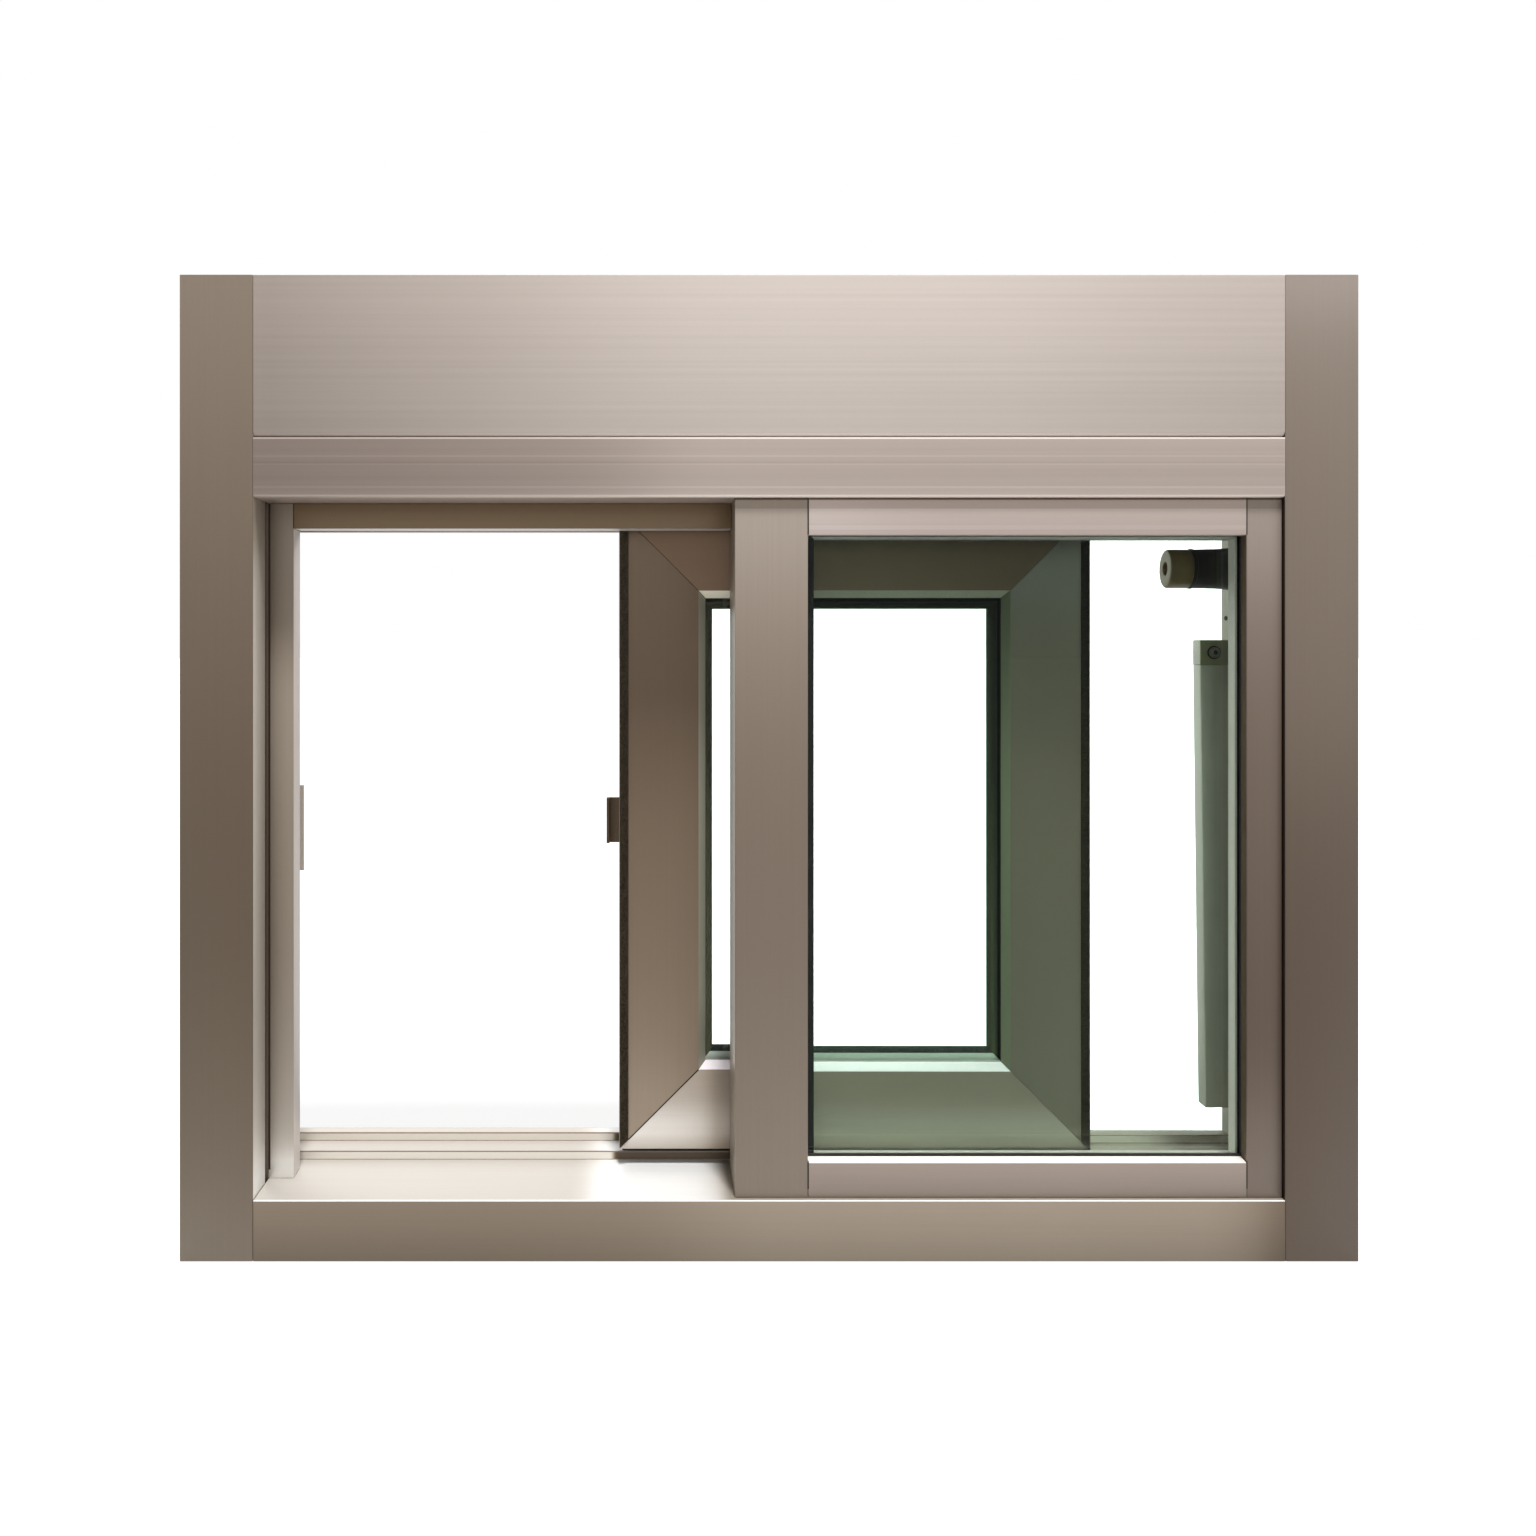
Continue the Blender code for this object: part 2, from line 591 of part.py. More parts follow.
def fixed_stop_section(sight, seat, face_rise):
    # An L of the visible flange and the body behind the glass edge, in (depth, across),
    # where across runs from the sight line to the frame
    pocket = sight - math.copysign(FIXED_BITE + FIXED_POCKET_CLEARANCE, sight - seat)
    back = FIXED_GLASS_END
    outline = [
        (FIXED_FACE, sight),
        (FIXED_FLANGE_BACK, sight + face_rise),
        (FIXED_FLANGE_BACK, pocket),
        (back, pocket),
        (back, seat),
        (FIXED_FACE, seat),
    ]
    wall = math.copysign(STOP_WALL, sight - seat)
    hollow = [
        (FIXED_FACE + STOP_WALL, sight - wall),
        (FIXED_FLANGE_BACK - STOP_WALL, sight - wall),
        (FIXED_FLANGE_BACK - STOP_WALL, pocket - wall),
        (back - STOP_WALL, pocket - wall),
        (back - STOP_WALL, seat + wall),
        (FIXED_FACE + STOP_WALL, seat + wall),
    ]
    return [softened(outline, (0, 5)), hollow]


def make_fixed_frame(parent):
    left = MULLION_RIGHT + SEAT_GAP
    rail_end = SIGHT_RIGHT - SEAT_GAP
    rails = (
        ("fixed_top_rail", fixed_stop_section(SIGHT_TOP, FIXED_TOP, 0.0)),
        ("fixed_bottom_rail", fixed_stop_section(SIGHT_BOTTOM, FIXED_BOTTOM, FIXED_BOTTOM_RISE)),
    )
    for name, loops in rails:
        add_extrusion(name, "anodised_aluminium", loops, left, rail_end, "X", parent)
    side = fixed_stop_section(SIGHT_RIGHT, FIXED_RIGHT, 0.0)
    side = [[(across, depth) for depth, across in loop] for loop in side]
    add_extrusion(
        "fixed_right_stop", "anodised_aluminium", side, FIXED_BOTTOM, FIXED_TOP, "Z", parent
    )
    inner_left = MULLION_RIGHT + SEAT_GAP
    inner_right = FIXED_RIGHT - FIXED_INNER_RIGHT_FACE
    depths = (FIXED_INNER_START, FIXED_INNER_BACK)
    spans = (
        ("fixed_inner_top", SIGHT_TOP, FIXED_TOP),
        ("fixed_inner_bottom", FIXED_BOTTOM, FIXED_BOTTOM + FIXED_INNER_BOTTOM_FACE),
    )
    for name, low, high in spans:
        outline = rectangle((depths[0], low), (depths[1], high))
        hollow = rectangle(
            (depths[0] + STOP_WALL, low + STOP_WALL), (depths[1] - STOP_WALL, high - STOP_WALL)
        )
        add_extrusion(
            name,
            "anodised_aluminium",
            [softened(outline, (1, 2)), hollow],
            inner_left,
            inner_right - SEAT_GAP,
            "X",
            parent,
        )
    outline = rectangle((inner_right, depths[0]), (FIXED_RIGHT, depths[1]))
    hollow = rectangle(
        (inner_right + STOP_WALL, depths[0] + STOP_WALL),
        (FIXED_RIGHT - STOP_WALL, depths[1] - STOP_WALL),
    )
    add_extrusion(
        "fixed_inner_right",
        "anodised_aluminium",
        [softened(outline, (0, 3)), hollow],
        FIXED_BOTTOM,
        FIXED_TOP,
        "Z",
        parent,
    )


def add_ring(name, finish, outer, inner, start, end, parent):
    # outer and inner are (low, high) corners in (x, z)
    loops = [rectangle(*outer), rectangle(*inner)]
    return add_extrusion(name, finish, loops, start, end, "Y", parent)


def grown(low, high, margin):
    return (low[0] - margin, low[1] - margin), (high[0] + margin, high[1] + margin)


def make_fixed_glass(parent):
    sight = ((SIGHT_LEFT, SIGHT_BOTTOM), (SIGHT_RIGHT, SIGHT_TOP))
    glass_low, glass_high = grown(*sight, FIXED_BITE)
    panes = (
        ("fixed_glass_outer", FIXED_GLASS_START),
        ("fixed_glass_inner", FIXED_INNER_PANE_START),
    )
    for name, start in panes:
        add_block(
            name,
            "clear_glass",
            (glass_low[0], start, glass_low[1]),
            (glass_high[0], start + FIXED_PANE, glass_high[1]),
            parent,
        )
    add_ring(
        "fixed_spacer",
        "mill_aluminium",
        (glass_low, glass_high),
        (
            (SIGHT_LEFT + FIXED_SPACER_LEFT, SIGHT_BOTTOM - FIXED_SPACER_DROP),
            (SIGHT_RIGHT - FIXED_SPACER_SHOWS, SIGHT_TOP - FIXED_SPACER_SHOWS),
        ),
        FIXED_SPACER_START,
        FIXED_SPACER_START + FIXED_AIR,
        parent,
    )
    start = FIXED_FLANGE_BACK + SEAT_GAP
    add_ring(
        "fixed_gasket",
        "black_gasket",
        grown(*sight, GASKET_WIDTH),
        sight,
        start,
        start + FIXED_GASKET_THICKNESS,
        parent,
    )


def sash_section(side):
    # Hollow tube with the glazing lip in front, in (distance from the outer edge, depth).
    # The stiles' groove for a brush strip is in the face, the bottom rail's underneath.
    outline = [
        (0.0, 0.0),
        (SASH_FACE_WIDTH, 0.0),
        (SASH_SIGHT, SASH_SLOPE_DEPTH),
        (SASH_SIGHT, SASH_LIP_BACK),
        (SASH_TUBE_WIDTH, SASH_LIP_BACK),
        (SASH_TUBE_WIDTH, SASH_THICKNESS),
        (0.0, SASH_THICKNESS),
    ]
    outline = softened(outline, (1, 5, 6))
    inner = SASH_TUBE_WIDTH - SASH_WALL
    back = SASH_THICKNESS - SASH_WALL
    if side in ("left", "right"):
        groove_end = PILE_RIM + PILE_WIDTH
        outline[1:1] = [
            (PILE_RIM, 0.0),
            (PILE_RIM, PILE_DEPTH),
            (groove_end, PILE_DEPTH),
            (groove_end, 0.0),
        ]
        step = (groove_end + SASH_WALL, PILE_DEPTH + SASH_WALL)
        hollow = [(SASH_WALL, step[1]), step, (step[0], SASH_WALL), (inner, SASH_WALL)]
        hollow += [(inner, back), (SASH_WALL, back)]
        return [outline, hollow]
    hollow_start = SASH_WALL
    if side == "bottom":
        groove_end = SILL_PILE_START + SILL_PILE_WIDTH
        outline += [
            (0.0, groove_end),
            (SILL_PILE_DEPTH, groove_end),
            (SILL_PILE_DEPTH, SILL_PILE_START),
            (0.0, SILL_PILE_START),
        ]
        hollow_start += SILL_PILE_DEPTH
    return [outline, rectangle((hollow_start, SASH_WALL), (inner, back))]


def bead_section():
    # Snap-in glass stop behind the sash's glass, with a sloped inner edge
    seat = SASH_TUBE_WIDTH + SEAT_GAP
    outline = [
        (seat, SASH_BEAD_START),
        (SASH_SIGHT, SASH_BEAD_START),
        (SASH_SIGHT, SASH_THICKNESS - SASH_SLOPE_DEPTH),
        (SASH_SIGHT - SASH_BEAD_SLOPE, SASH_THICKNESS),
        (seat, SASH_THICKNESS),
    ]
    outline = softened(outline, (3,))
    inner_edge = SASH_SIGHT - SASH_BEAD_SLOPE - STOP_WALL
    hollow = rectangle(
        (seat + STOP_WALL, SASH_BEAD_START + STOP_WALL),
        (inner_edge, SASH_THICKNESS - STOP_WALL),
    )
    return [outline, hollow]


def add_mitred(name, finish, section, side, parent):
    # Runs one member of a mitred frame along the sash's left, right, bottom or top edge
    if side in ("left", "right"):
        length, across = SASH_HEIGHT, SASH_WIDTH
        gap = MITRE_GAP
        direction = "Z"
    else:
        length, across = SASH_WIDTH, SASH_HEIGHT
        gap = 0.0
        direction = "X"
    far = side in ("right", "top")

    def inset(a, b):
        distance = a if direction == "Z" else b
        return across - distance if far else distance

    loops = []
    for loop in section:
        if direction == "Z":
            loops.append([(across - a if far else a, b) for a, b in loop])
        else:
            loops.append([(b, across - a if far else a) for a, b in loop])
    return add_extrusion(
        name,
        finish,
        loops,
        lambda a, b: inset(a, b) + gap,
        lambda a, b: length - inset(a, b) - gap,
        direction,
        parent,
    )


def make_sash_frame(parent):
    members = (
        ("sash_left_stile", "left"),
        ("sash_right_stile", "right"),
        ("sash_bottom_rail", "bottom"),
        ("sash_top_rail", "top"),
    )
    for name, side in members:
        add_mitred(name, "anodised_aluminium", sash_section(side), side, parent)
        add_mitred(f"sash_bead_{side}", "anodised_aluminium", bead_section(), side, parent)


def make_sash_glass(parent):
    sight = ((SASH_SIGHT, SASH_SIGHT), (SASH_WIDTH - SASH_SIGHT, SASH_HEIGHT - SASH_SIGHT))
    glass_low, glass_high = grown(*sight, SASH_BITE)
    spacer_low, spacer_high = grown(*sight, -SASH_SPACER_SHOWS)
    panes = (
        ("sash_glass_outer", SASH_GLASS_START),
        ("sash_glass_inner", SASH_INNER_PANE_START),
    )
    for name, start in panes:
        add_block(
            name,
            "clear_glass",
            (glass_low[0], start, glass_low[1]),
            (glass_high[0], start + SASH_PANE, glass_high[1]),
            parent,
        )
    add_ring(
        "sash_spacer",
        "mill_aluminium",
        (glass_low, glass_high),
        (spacer_low, (spacer_high[0], sight[1][1] - SASH_SPACER_TOP)),
        SASH_SPACER_START,
        SASH_SPACER_START + SASH_AIR,
        parent,
    )
    start = SASH_LIP_BACK + SEAT_GAP
    add_ring(
        "sash_gasket",
        "black_gasket",
        grown(*sight, GASKET_WIDTH),
        sight,
        start,
        start + SASH_GASKET_THICKNESS,
        parent,
    )


def make_sash_piles(parent):
    # The stiles' brushes face the stops, the bottom rail's brush reaches down to the sill
    low = (PILE_RIM + SEAT_GAP, -PILE_PROUD)
    high = (PILE_RIM + PILE_WIDTH - SEAT_GAP, PILE_DEPTH - SEAT_GAP)
    for side in ("left", "right"):
        add_mitred(f"sash_pile_{side}", "brush_pile", [rectangle(low, high)], side, parent)
    middle = SILL_PILE_START + SILL_PILE_WIDTH / 2
    base_half = SILL_PILE_WIDTH / 2 - SEAT_GAP
    brush_half = SILL_PILE_BRUSH / 2
    top = SILL_PILE_DEPTH - SEAT_GAP
    tip = SILL_HEIGHT + SEAT_GAP - SASH_BOTTOM
    outline = [
        (middle - base_half, top),
        (middle + base_half, top),
        (middle + base_half, SEAT_GAP),
        (middle + brush_half, SEAT_GAP),
        (middle + brush_half, tip),
        (middle - brush_half, tip),
        (middle - brush_half, SEAT_GAP),
        (middle - base_half, SEAT_GAP),
    ]
    trim = SILL_PILE_DEPTH + SEAT_GAP
    add_extrusion(
        "sash_pile_bottom", "brush_pile", [outline], trim, SASH_WIDTH - trim, "X", parent
    )


def make_hangers(parent):
    # Angle brackets on the sash's top edge, each with a grooved wheel on the track's rail
    foot_low = SASH_HEIGHT + SEAT_GAP
    foot_high = foot_low + HANGER_PLATE
    rail_depth = TRACK_RAIL_CENTRE - SASH_FACE
    rail_top = OPENING_TOP + TRACK_SHELF_HEIGHT + TRACK_WALL + TRACK_RAIL_HEIGHT
    wheel_height = rail_top + SEAT_GAP + WHEEL_TREAD_RADIUS - SASH_BOTTOM
    web = rail_depth + WHEEL_WIDTH / 2 + HANGER_RUNNING_GAP
    foot_start = web + HANGER_PLATE - HANGER_FOOT_WIDTH
    outline = [
        (foot_start, foot_low),
        (web + HANGER_PLATE, foot_low),
        (web + HANGER_PLATE, wheel_height + HANGER_TOP_MARGIN),
        (web, wheel_height + HANGER_TOP_MARGIN),
        (web, foot_high),
        (foot_start, foot_high),
    ]
    flange_half = WHEEL_WIDTH / 2
    tread_half = WHEEL_TREAD_WIDTH / 2
    wheel = [
        (0.0, -flange_half),
        (WHEEL_FLANGE_RADIUS, -flange_half),
        (WHEEL_FLANGE_RADIUS, -tread_half),
        (WHEEL_TREAD_RADIUS, -tread_half),
        (WHEEL_TREAD_RADIUS, tread_half),
        (WHEEL_FLANGE_RADIUS, tread_half),
        (WHEEL_FLANGE_RADIUS, flange_half),
        (AXLE_RADIUS, flange_half),
        (AXLE_RADIUS, flange_half + HANGER_RUNNING_GAP + 2 * HANGER_PLATE),
        (0.0, flange_half + HANGER_RUNNING_GAP + 2 * HANGER_PLATE),
    ]
    starts = {
        "left_hanger": HANGER_INSET,
        "right_hanger": SASH_WIDTH - HANGER_INSET - HANGER_LENGTH,
    }
    for name, start in starts.items():
        bracket = add_extrusion(
            name, "zinc_steel", [outline], start, start + HANGER_LENGTH, "X", parent
        )
        centre = (start + HANGER_LENGTH / 2, rail_depth, wheel_height)
        roller = add_turning(f"{name}_wheel", "nylon", wheel, centre, "Y", parent)
        add_boolean(bracket, roller, "UNION")


def make_guide_shoe(parent):
    channel_front = FRONT_RIB_START + FRONT_RIB_WIDTH - SASH_FACE
    channel_back = REAR_RIB_START - SASH_FACE
    start = max(channel_front, SILL_PILE_START + SILL_PILE_WIDTH) + SHOE_CLEARANCE
    low = (start, SILL_HEIGHT + SHOE_CLEARANCE - SASH_BOTTOM)
    high = (channel_back - SHOE_CLEARANCE, -SEAT_GAP)
    middle = SASH_WIDTH / 2
    outline = rounded(rectangle(low, high), {0: SHOE_RADIUS, 1: SHOE_RADIUS})
    add_extrusion(
        "sash_guide_shoe",
        "nylon",
        [outline],
        middle - SHOE_LENGTH / 2,
        middle + SHOE_LENGTH / 2,
        "X",
        parent,
    )


def make_latch(parent):
    # A hook profile: body on the back of the stile, web past its edge and a lip at the end
    start = SASH_THICKNESS + SEAT_GAP
    back = start + LATCH_DEPTH
    outline = [
        (-LATCH_REACH, back - LATCH_LIP_DEPTH),
        (-LATCH_REACH + LATCH_LIP, back - LATCH_LIP_DEPTH),
        (-LATCH_REACH + LATCH_LIP, back - LATCH_WEB),
        (LATCH_BODY_INSET, back - LATCH_WEB),
        (LATCH_BODY_INSET, start),
        (LATCH_BODY_INSET + LATCH_BODY_WIDTH, start),
        (LATCH_BODY_INSET + LATCH_BODY_WIDTH, back),
        (-LATCH_REACH, back),
    ]
    outline = softened(outline, (6, 7))
    add_extrusion(
        "sash_latch",
        "zinc_steel",
        [outline],
        LATCH_BOTTOM,
        LATCH_TOP,
        "Z",
        parent,
    )


def make_keeper(parent):
    wall = -HALF_POCKET + SEAT_GAP
    outline = [
        (wall, KEEPER_START),
        (wall + KEEPER_REACH, KEEPER_START),
        (wall + KEEPER_REACH, KEEPER_START + KEEPER_PLATE),
        (wall + KEEPER_PLATE, KEEPER_START + KEEPER_PLATE),
        (wall + KEEPER_PLATE, KEEPER_START + KEEPER_DEPTH),
        (wall, KEEPER_START + KEEPER_DEPTH),
    ]
    add_extrusion(
        "latch_keeper",
        "zinc_steel",
        [outline],
        KEEPER_BOTTOM,
        KEEPER_BOTTOM + KEEPER_HEIGHT,
        "Z",
        parent,
    )


def make_pull(parent):
    # A shallow finger pull on the inside face of the left stile
    start = SASH_THICKNESS + SEAT_GAP
    left = PULL_INSET
    outline = [
        (left, start),
        (left + PULL_WIDTH, start),
        (left + PULL_WIDTH, start + PULL_PLATE),
        (left + PULL_PLATE, start + PULL_PLATE),
        (left + PULL_PLATE, start + PULL_HEIGHT),
        (left, start + PULL_HEIGHT),
    ]
    outline = rounded(outline, {4: PULL_PLATE / 3, 5: PULL_PLATE / 3})
    add_extrusion(
        "interior_pull",
        "anodised_aluminium",
        [outline],
        PULL_BOTTOM,
        PULL_BOTTOM + PULL_LENGTH,
        "Z",
        parent,
    )


def make_bumper(parent):
    wall = HALF_POCKET - SEAT_GAP
    base = [
        (0.0, 0.0),
        (BUMPER_FLARE_RADIUS, 0.0),
        (BUMPER_FLARE_RADIUS, -BUMPER_FLANGE),
        (BUMPER_RADIUS, -BUMPER_BASE_LENGTH),
        (0.0, -BUMPER_BASE_LENGTH),
    ]
    place = (wall, BUMPER_DEPTH, BUMPER_HEIGHT)
    add_turning("bumper_base", "black_rubber", base, place, "X", parent)
    end = -BUMPER_TIP_LENGTH
    chamfer = BUMPER_RADIUS - BUMPER_TIP_RADIUS
    tip = [
        (0.0, 0.0),
        (BUMPER_RADIUS, 0.0),
        (BUMPER_RADIUS, end + BUMPER_TIP_RADIUS),
        (chamfer, end),
        (BUMPER_HOLE_RADIUS, end),
        (BUMPER_HOLE_RADIUS, end + BUMPER_HOLE_DEPTH),
        (0.0, end + BUMPER_HOLE_DEPTH),
    ]
    place = (wall - BUMPER_BASE_LENGTH - SEAT_GAP, BUMPER_DEPTH, BUMPER_HEIGHT)
    add_turning("bumper_tip", "amber_rubber", tip, place, "X", parent)


def make_security_bar(parent):
    # A flat tube that hangs from its block, drawn from its top corner down
    outline = rectangle((0.0, 0.0), (BAR_WIDTH, BAR_THICKNESS))
    hollow = rectangle(
        (BAR_WALL, BAR_WALL), (BAR_WIDTH - BAR_WALL, BAR_THICKNESS - BAR_WALL)
    )
    loops = [softened(outline, range(4)), hollow]
    bar = add_extrusion(
        "security_bar", "mill_aluminium", loops, -BAR_LENGTH, 0.0, "Z", parent
    )
    bar.location = (BAR_LEFT, BAR_START, BAR_TOP)
    bar.rotation_euler = (0.0, -BAR_LEAN, 0.0)
    add_block(
        "bar_pivot_block",
        "mill_aluminium",
        (BAR_LEFT, BAR_START, BAR_BLOCK_BOTTOM),
        (HALF_POCKET - SEAT_GAP, BAR_START + BAR_THICKNESS, BAR_BLOCK_TOP),
        parent,
    )


def make_window():
    clear_scene()
    for name in FINISHES:
        make_finish(name)
    frame = add_empty("window_frame", (0.0, -FRAME_DEPTH / 2, 0.0))
    sash = add_empty("sliding_sash", (SASH_LEFT, SASH_FACE, SASH_BOTTOM), frame)
    make_jambs(frame)
    make_sill(frame)
    make_header(frame)
    make_head_track(frame)
    make_stops(frame)
    make_mullion(frame)
    make_fixed_frame(frame)
    make_fixed_glass(frame)
    make_sash_frame(sash)
    make_sash_glass(sash)
    make_sash_piles(sash)
    make_hangers(sash)
    make_guide_shoe(sash)
    make_latch(sash)
    make_pull(sash)
    make_keeper(frame)
    make_bumper(frame)
    make_security_bar(frame)


make_window()
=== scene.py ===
import math

import bmesh
import bpy
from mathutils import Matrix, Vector


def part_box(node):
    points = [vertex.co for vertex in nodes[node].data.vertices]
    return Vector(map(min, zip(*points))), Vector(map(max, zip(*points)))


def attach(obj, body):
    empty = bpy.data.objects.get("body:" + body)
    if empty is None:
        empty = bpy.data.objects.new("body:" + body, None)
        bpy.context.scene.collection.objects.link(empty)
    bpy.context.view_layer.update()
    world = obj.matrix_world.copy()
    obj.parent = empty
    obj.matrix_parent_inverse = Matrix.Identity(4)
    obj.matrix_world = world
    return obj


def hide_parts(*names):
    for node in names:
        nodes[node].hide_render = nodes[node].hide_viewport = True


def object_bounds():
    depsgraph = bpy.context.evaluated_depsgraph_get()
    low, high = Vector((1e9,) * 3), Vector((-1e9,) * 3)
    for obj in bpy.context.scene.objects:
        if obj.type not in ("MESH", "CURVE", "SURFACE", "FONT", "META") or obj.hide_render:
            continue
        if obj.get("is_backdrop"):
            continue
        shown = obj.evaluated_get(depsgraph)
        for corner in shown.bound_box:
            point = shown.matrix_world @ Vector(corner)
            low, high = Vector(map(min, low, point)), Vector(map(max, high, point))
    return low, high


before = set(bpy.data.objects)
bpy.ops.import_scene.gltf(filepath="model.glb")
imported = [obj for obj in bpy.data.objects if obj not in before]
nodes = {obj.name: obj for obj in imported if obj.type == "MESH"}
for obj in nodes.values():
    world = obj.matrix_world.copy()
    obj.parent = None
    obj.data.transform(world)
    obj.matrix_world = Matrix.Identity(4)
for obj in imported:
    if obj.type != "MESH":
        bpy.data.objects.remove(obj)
cadLow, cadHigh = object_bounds()
frontY = cadLow.y  # depth is counted back from this plane
print("frame loaded")


def srgb(*parts):
    # Colours are written as they show on screen, 0 to 255
    return tuple(
        (part / 255 / 12.92) if part <= 10 else ((part / 255 + 0.055) / 1.055) ** 2.4
        for part in parts
    )


def newMaterial(name, roughness=0.5, metallic=0.0):
    material = bpy.data.materials.new(name)
    material.use_nodes = True
    shader = material.node_tree.nodes["Principled BSDF"]
    shader.inputs["Roughness"].default_value = roughness
    shader.inputs["Metallic"].default_value = metallic
    return material, material.node_tree, shader


def addNode(tree, kind, **settings):
    node = tree.nodes.new(kind)
    for key, value in settings.items():
        setattr(node, key, value)
    return node


def addMath(tree, operation, *values, clamp=False):
    node = addNode(tree, "ShaderNodeMath", operation=operation, use_clamp=clamp)
    for number, value in enumerate(values):
        if isinstance(value, (int, float)):
            node.inputs[number].default_value = value
        else:
            tree.links.new(value, node.inputs[number])
    return node.outputs[0]


def addNoise(tree, vector, scale, detail=2.0):
    node = addNode(tree, "ShaderNodeTexNoise")
    node.inputs["Scale"].default_value = scale
    node.inputs["Detail"].default_value = detail
    tree.links.new(vector, node.inputs["Vector"])
    return node.outputs["Fac"]


def objectPlace(tree, stretch=(1.0, 1.0, 1.0)):
    place = addNode(tree, "ShaderNodeTexCoord")
    mapping = addNode(tree, "ShaderNodeMapping")
    mapping.inputs["Scale"].default_value = stretch
    tree.links.new(place.outputs["Object"], mapping.inputs["Vector"])
    return mapping.outputs["Vector"]


def objectAxis(tree, axis):
    place = addNode(tree, "ShaderNodeTexCoord")
    split = addNode(tree, "ShaderNodeSeparateXYZ")
    tree.links.new(place.outputs["Object"], split.inputs["Vector"])
    return split.outputs[axis]


def tinted(tree, shader, colour, tone):
    # The base colour times a tone that hovers round 1
    scale = addNode(tree, "ShaderNodeVectorMath", operation="SCALE")
    scale.inputs[0].default_value = colour
    tree.links.new(tone, scale.inputs["Scale"])
    tree.links.new(scale.outputs["Vector"], shader.inputs["Base Color"])


def addBump(tree, shader, height, distance):
    bump = addNode(tree, "ShaderNodeBump")
    bump.inputs["Strength"].default_value = 1.0
    bump.inputs["Distance"].default_value = distance
    tree.links.new(height, bump.inputs["Height"])
    tree.links.new(bump.outputs["Normal"], shader.inputs["Normal"])


metalLook = {
    "roughness": 0.44,
    "metallic": 0.38,
    "lineScale": 520.0,
    "lineStretch": 0.006,
    "lineTone": 0.10,
    "lineDetail": 3.0,
    "softDetail": 1.0,
    "grainScale": 1500.0,
    "grainTone": 0.07,
    "cloudScale": 5.0,
    "cloudTone": 0.05,
    "bump": 0.00002,
    "roughnessSwing": 0.08,
    "warmth": (0.88, 1.0, 1.15),
}


curveTop = 3.0  # a Float Curve ends at 1, so it holds each tone as a share of this


def curveTone(tree, axis, stops):
    # A tone that changes slowly between (place, tone) pairs along an axis
    ramp = addNode(tree, "ShaderNodeFloatCurve")
    low, high = stops[0][0], stops[-1][0]
    curve = ramp.mapping.curves[0]
    points = [((place - low) / (high - low), value / curveTop) for place, value in stops]
    curve.points[0].location = points[0]
    curve.points[1].location = points[-1]
    for point in points[1:-1]:
        curve.points.new(*point)
    for point in curve.points:
        point.handle_type = "AUTO_CLAMPED"
    ramp.mapping.update()
    where = addMath(tree, "SUBTRACT", objectAxis(tree, axis), low)
    where = addMath(tree, "DIVIDE", where, high - low, clamp=True)
    tree.links.new(where, ramp.inputs["Value"])
    return addMath(tree, "MULTIPLY", ramp.outputs[0], curveTop)


def anodised(name, colour, along, paintedShading=None, bands=(), paintedRise=None, look=metalLook):
    # Satin metal with fine die lines along the piece. Two lists of stops paint light and shade onto its
    # tone, one along the piece and one from its foot up. bands are level stripes: (height, half width,
    # tone); some are grooves, the rest painted highlights and shade.
    material, tree, shader = newMaterial(name, look["roughness"], look["metallic"])
    stretch = [1.0, 1.0, 1.0]
    stretch["XYZ".index(along)] = look["lineStretch"]
    lines = addNoise(tree, objectPlace(tree, stretch), look["lineScale"], look["lineDetail"])
    grain = addNoise(tree, objectPlace(tree), look["grainScale"], look["softDetail"])
    cloud = addNoise(tree, objectPlace(tree), look["cloudScale"], look["softDetail"])
    parts = ((lines, look["lineTone"]), (grain, look["grainTone"]), (cloud, look["cloudTone"]))
    tone = 1.0 - sum(amount for _, amount in parts) / 2
    for source, amount in parts:
        tone = addMath(tree, "ADD", addMath(tree, "MULTIPLY", source, amount), tone)
    for axis, stops in ((along, paintedShading), ("Z", paintedRise)):
        if stops:
            tone = addMath(tree, "MULTIPLY", tone, curveTone(tree, axis, stops))
    for height, half, level in bands:
        inside = addMath(tree, "COMPARE", objectAxis(tree, "Z"), height, half)
        step = addMath(tree, "ADD", addMath(tree, "MULTIPLY", inside, level - 1.0), 1.0)
        tone = addMath(tree, "MULTIPLY", tone, step)
    # Where the tone is darker, painted shade included, the colour is warmer, and greyer where it is
    # lighter
    mixed = addNode(tree, "ShaderNodeCombineXYZ")
    for socket, amount, power in zip(mixed.inputs, colour, look["warmth"]):
        channel = addMath(tree, "MULTIPLY", addMath(tree, "POWER", tone, power), amount)
        tree.links.new(channel, socket)
    tree.links.new(mixed.outputs["Vector"], shader.inputs["Base Color"])
    rough = addMath(tree, "MULTIPLY", lines, look["roughnessSwing"])
    rough = addMath(tree, "ADD", rough, look["roughness"] - look["roughnessSwing"] / 2)
    tree.links.new(rough, shader.inputs["Roughness"])
    addBump(tree, shader, addMath(tree, "ADD", lines, grain), look["bump"])
    return material


def plain(name, colour, roughness=0.6, metallic=0.0, grain=0.10, scale=700.0, bump=0.00003):
    # One colour with a fine speckle in its tone and relief
    material, tree, shader = newMaterial(name, roughness, metallic)
    speck = addNoise(tree, objectPlace(tree), scale)
    tone = addMath(tree, "ADD", addMath(tree, "MULTIPLY", speck, grain), 1.0 - grain / 2)
    tinted(tree, shader, colour, tone)
    addBump(tree, shader, speck, bump)
    return material


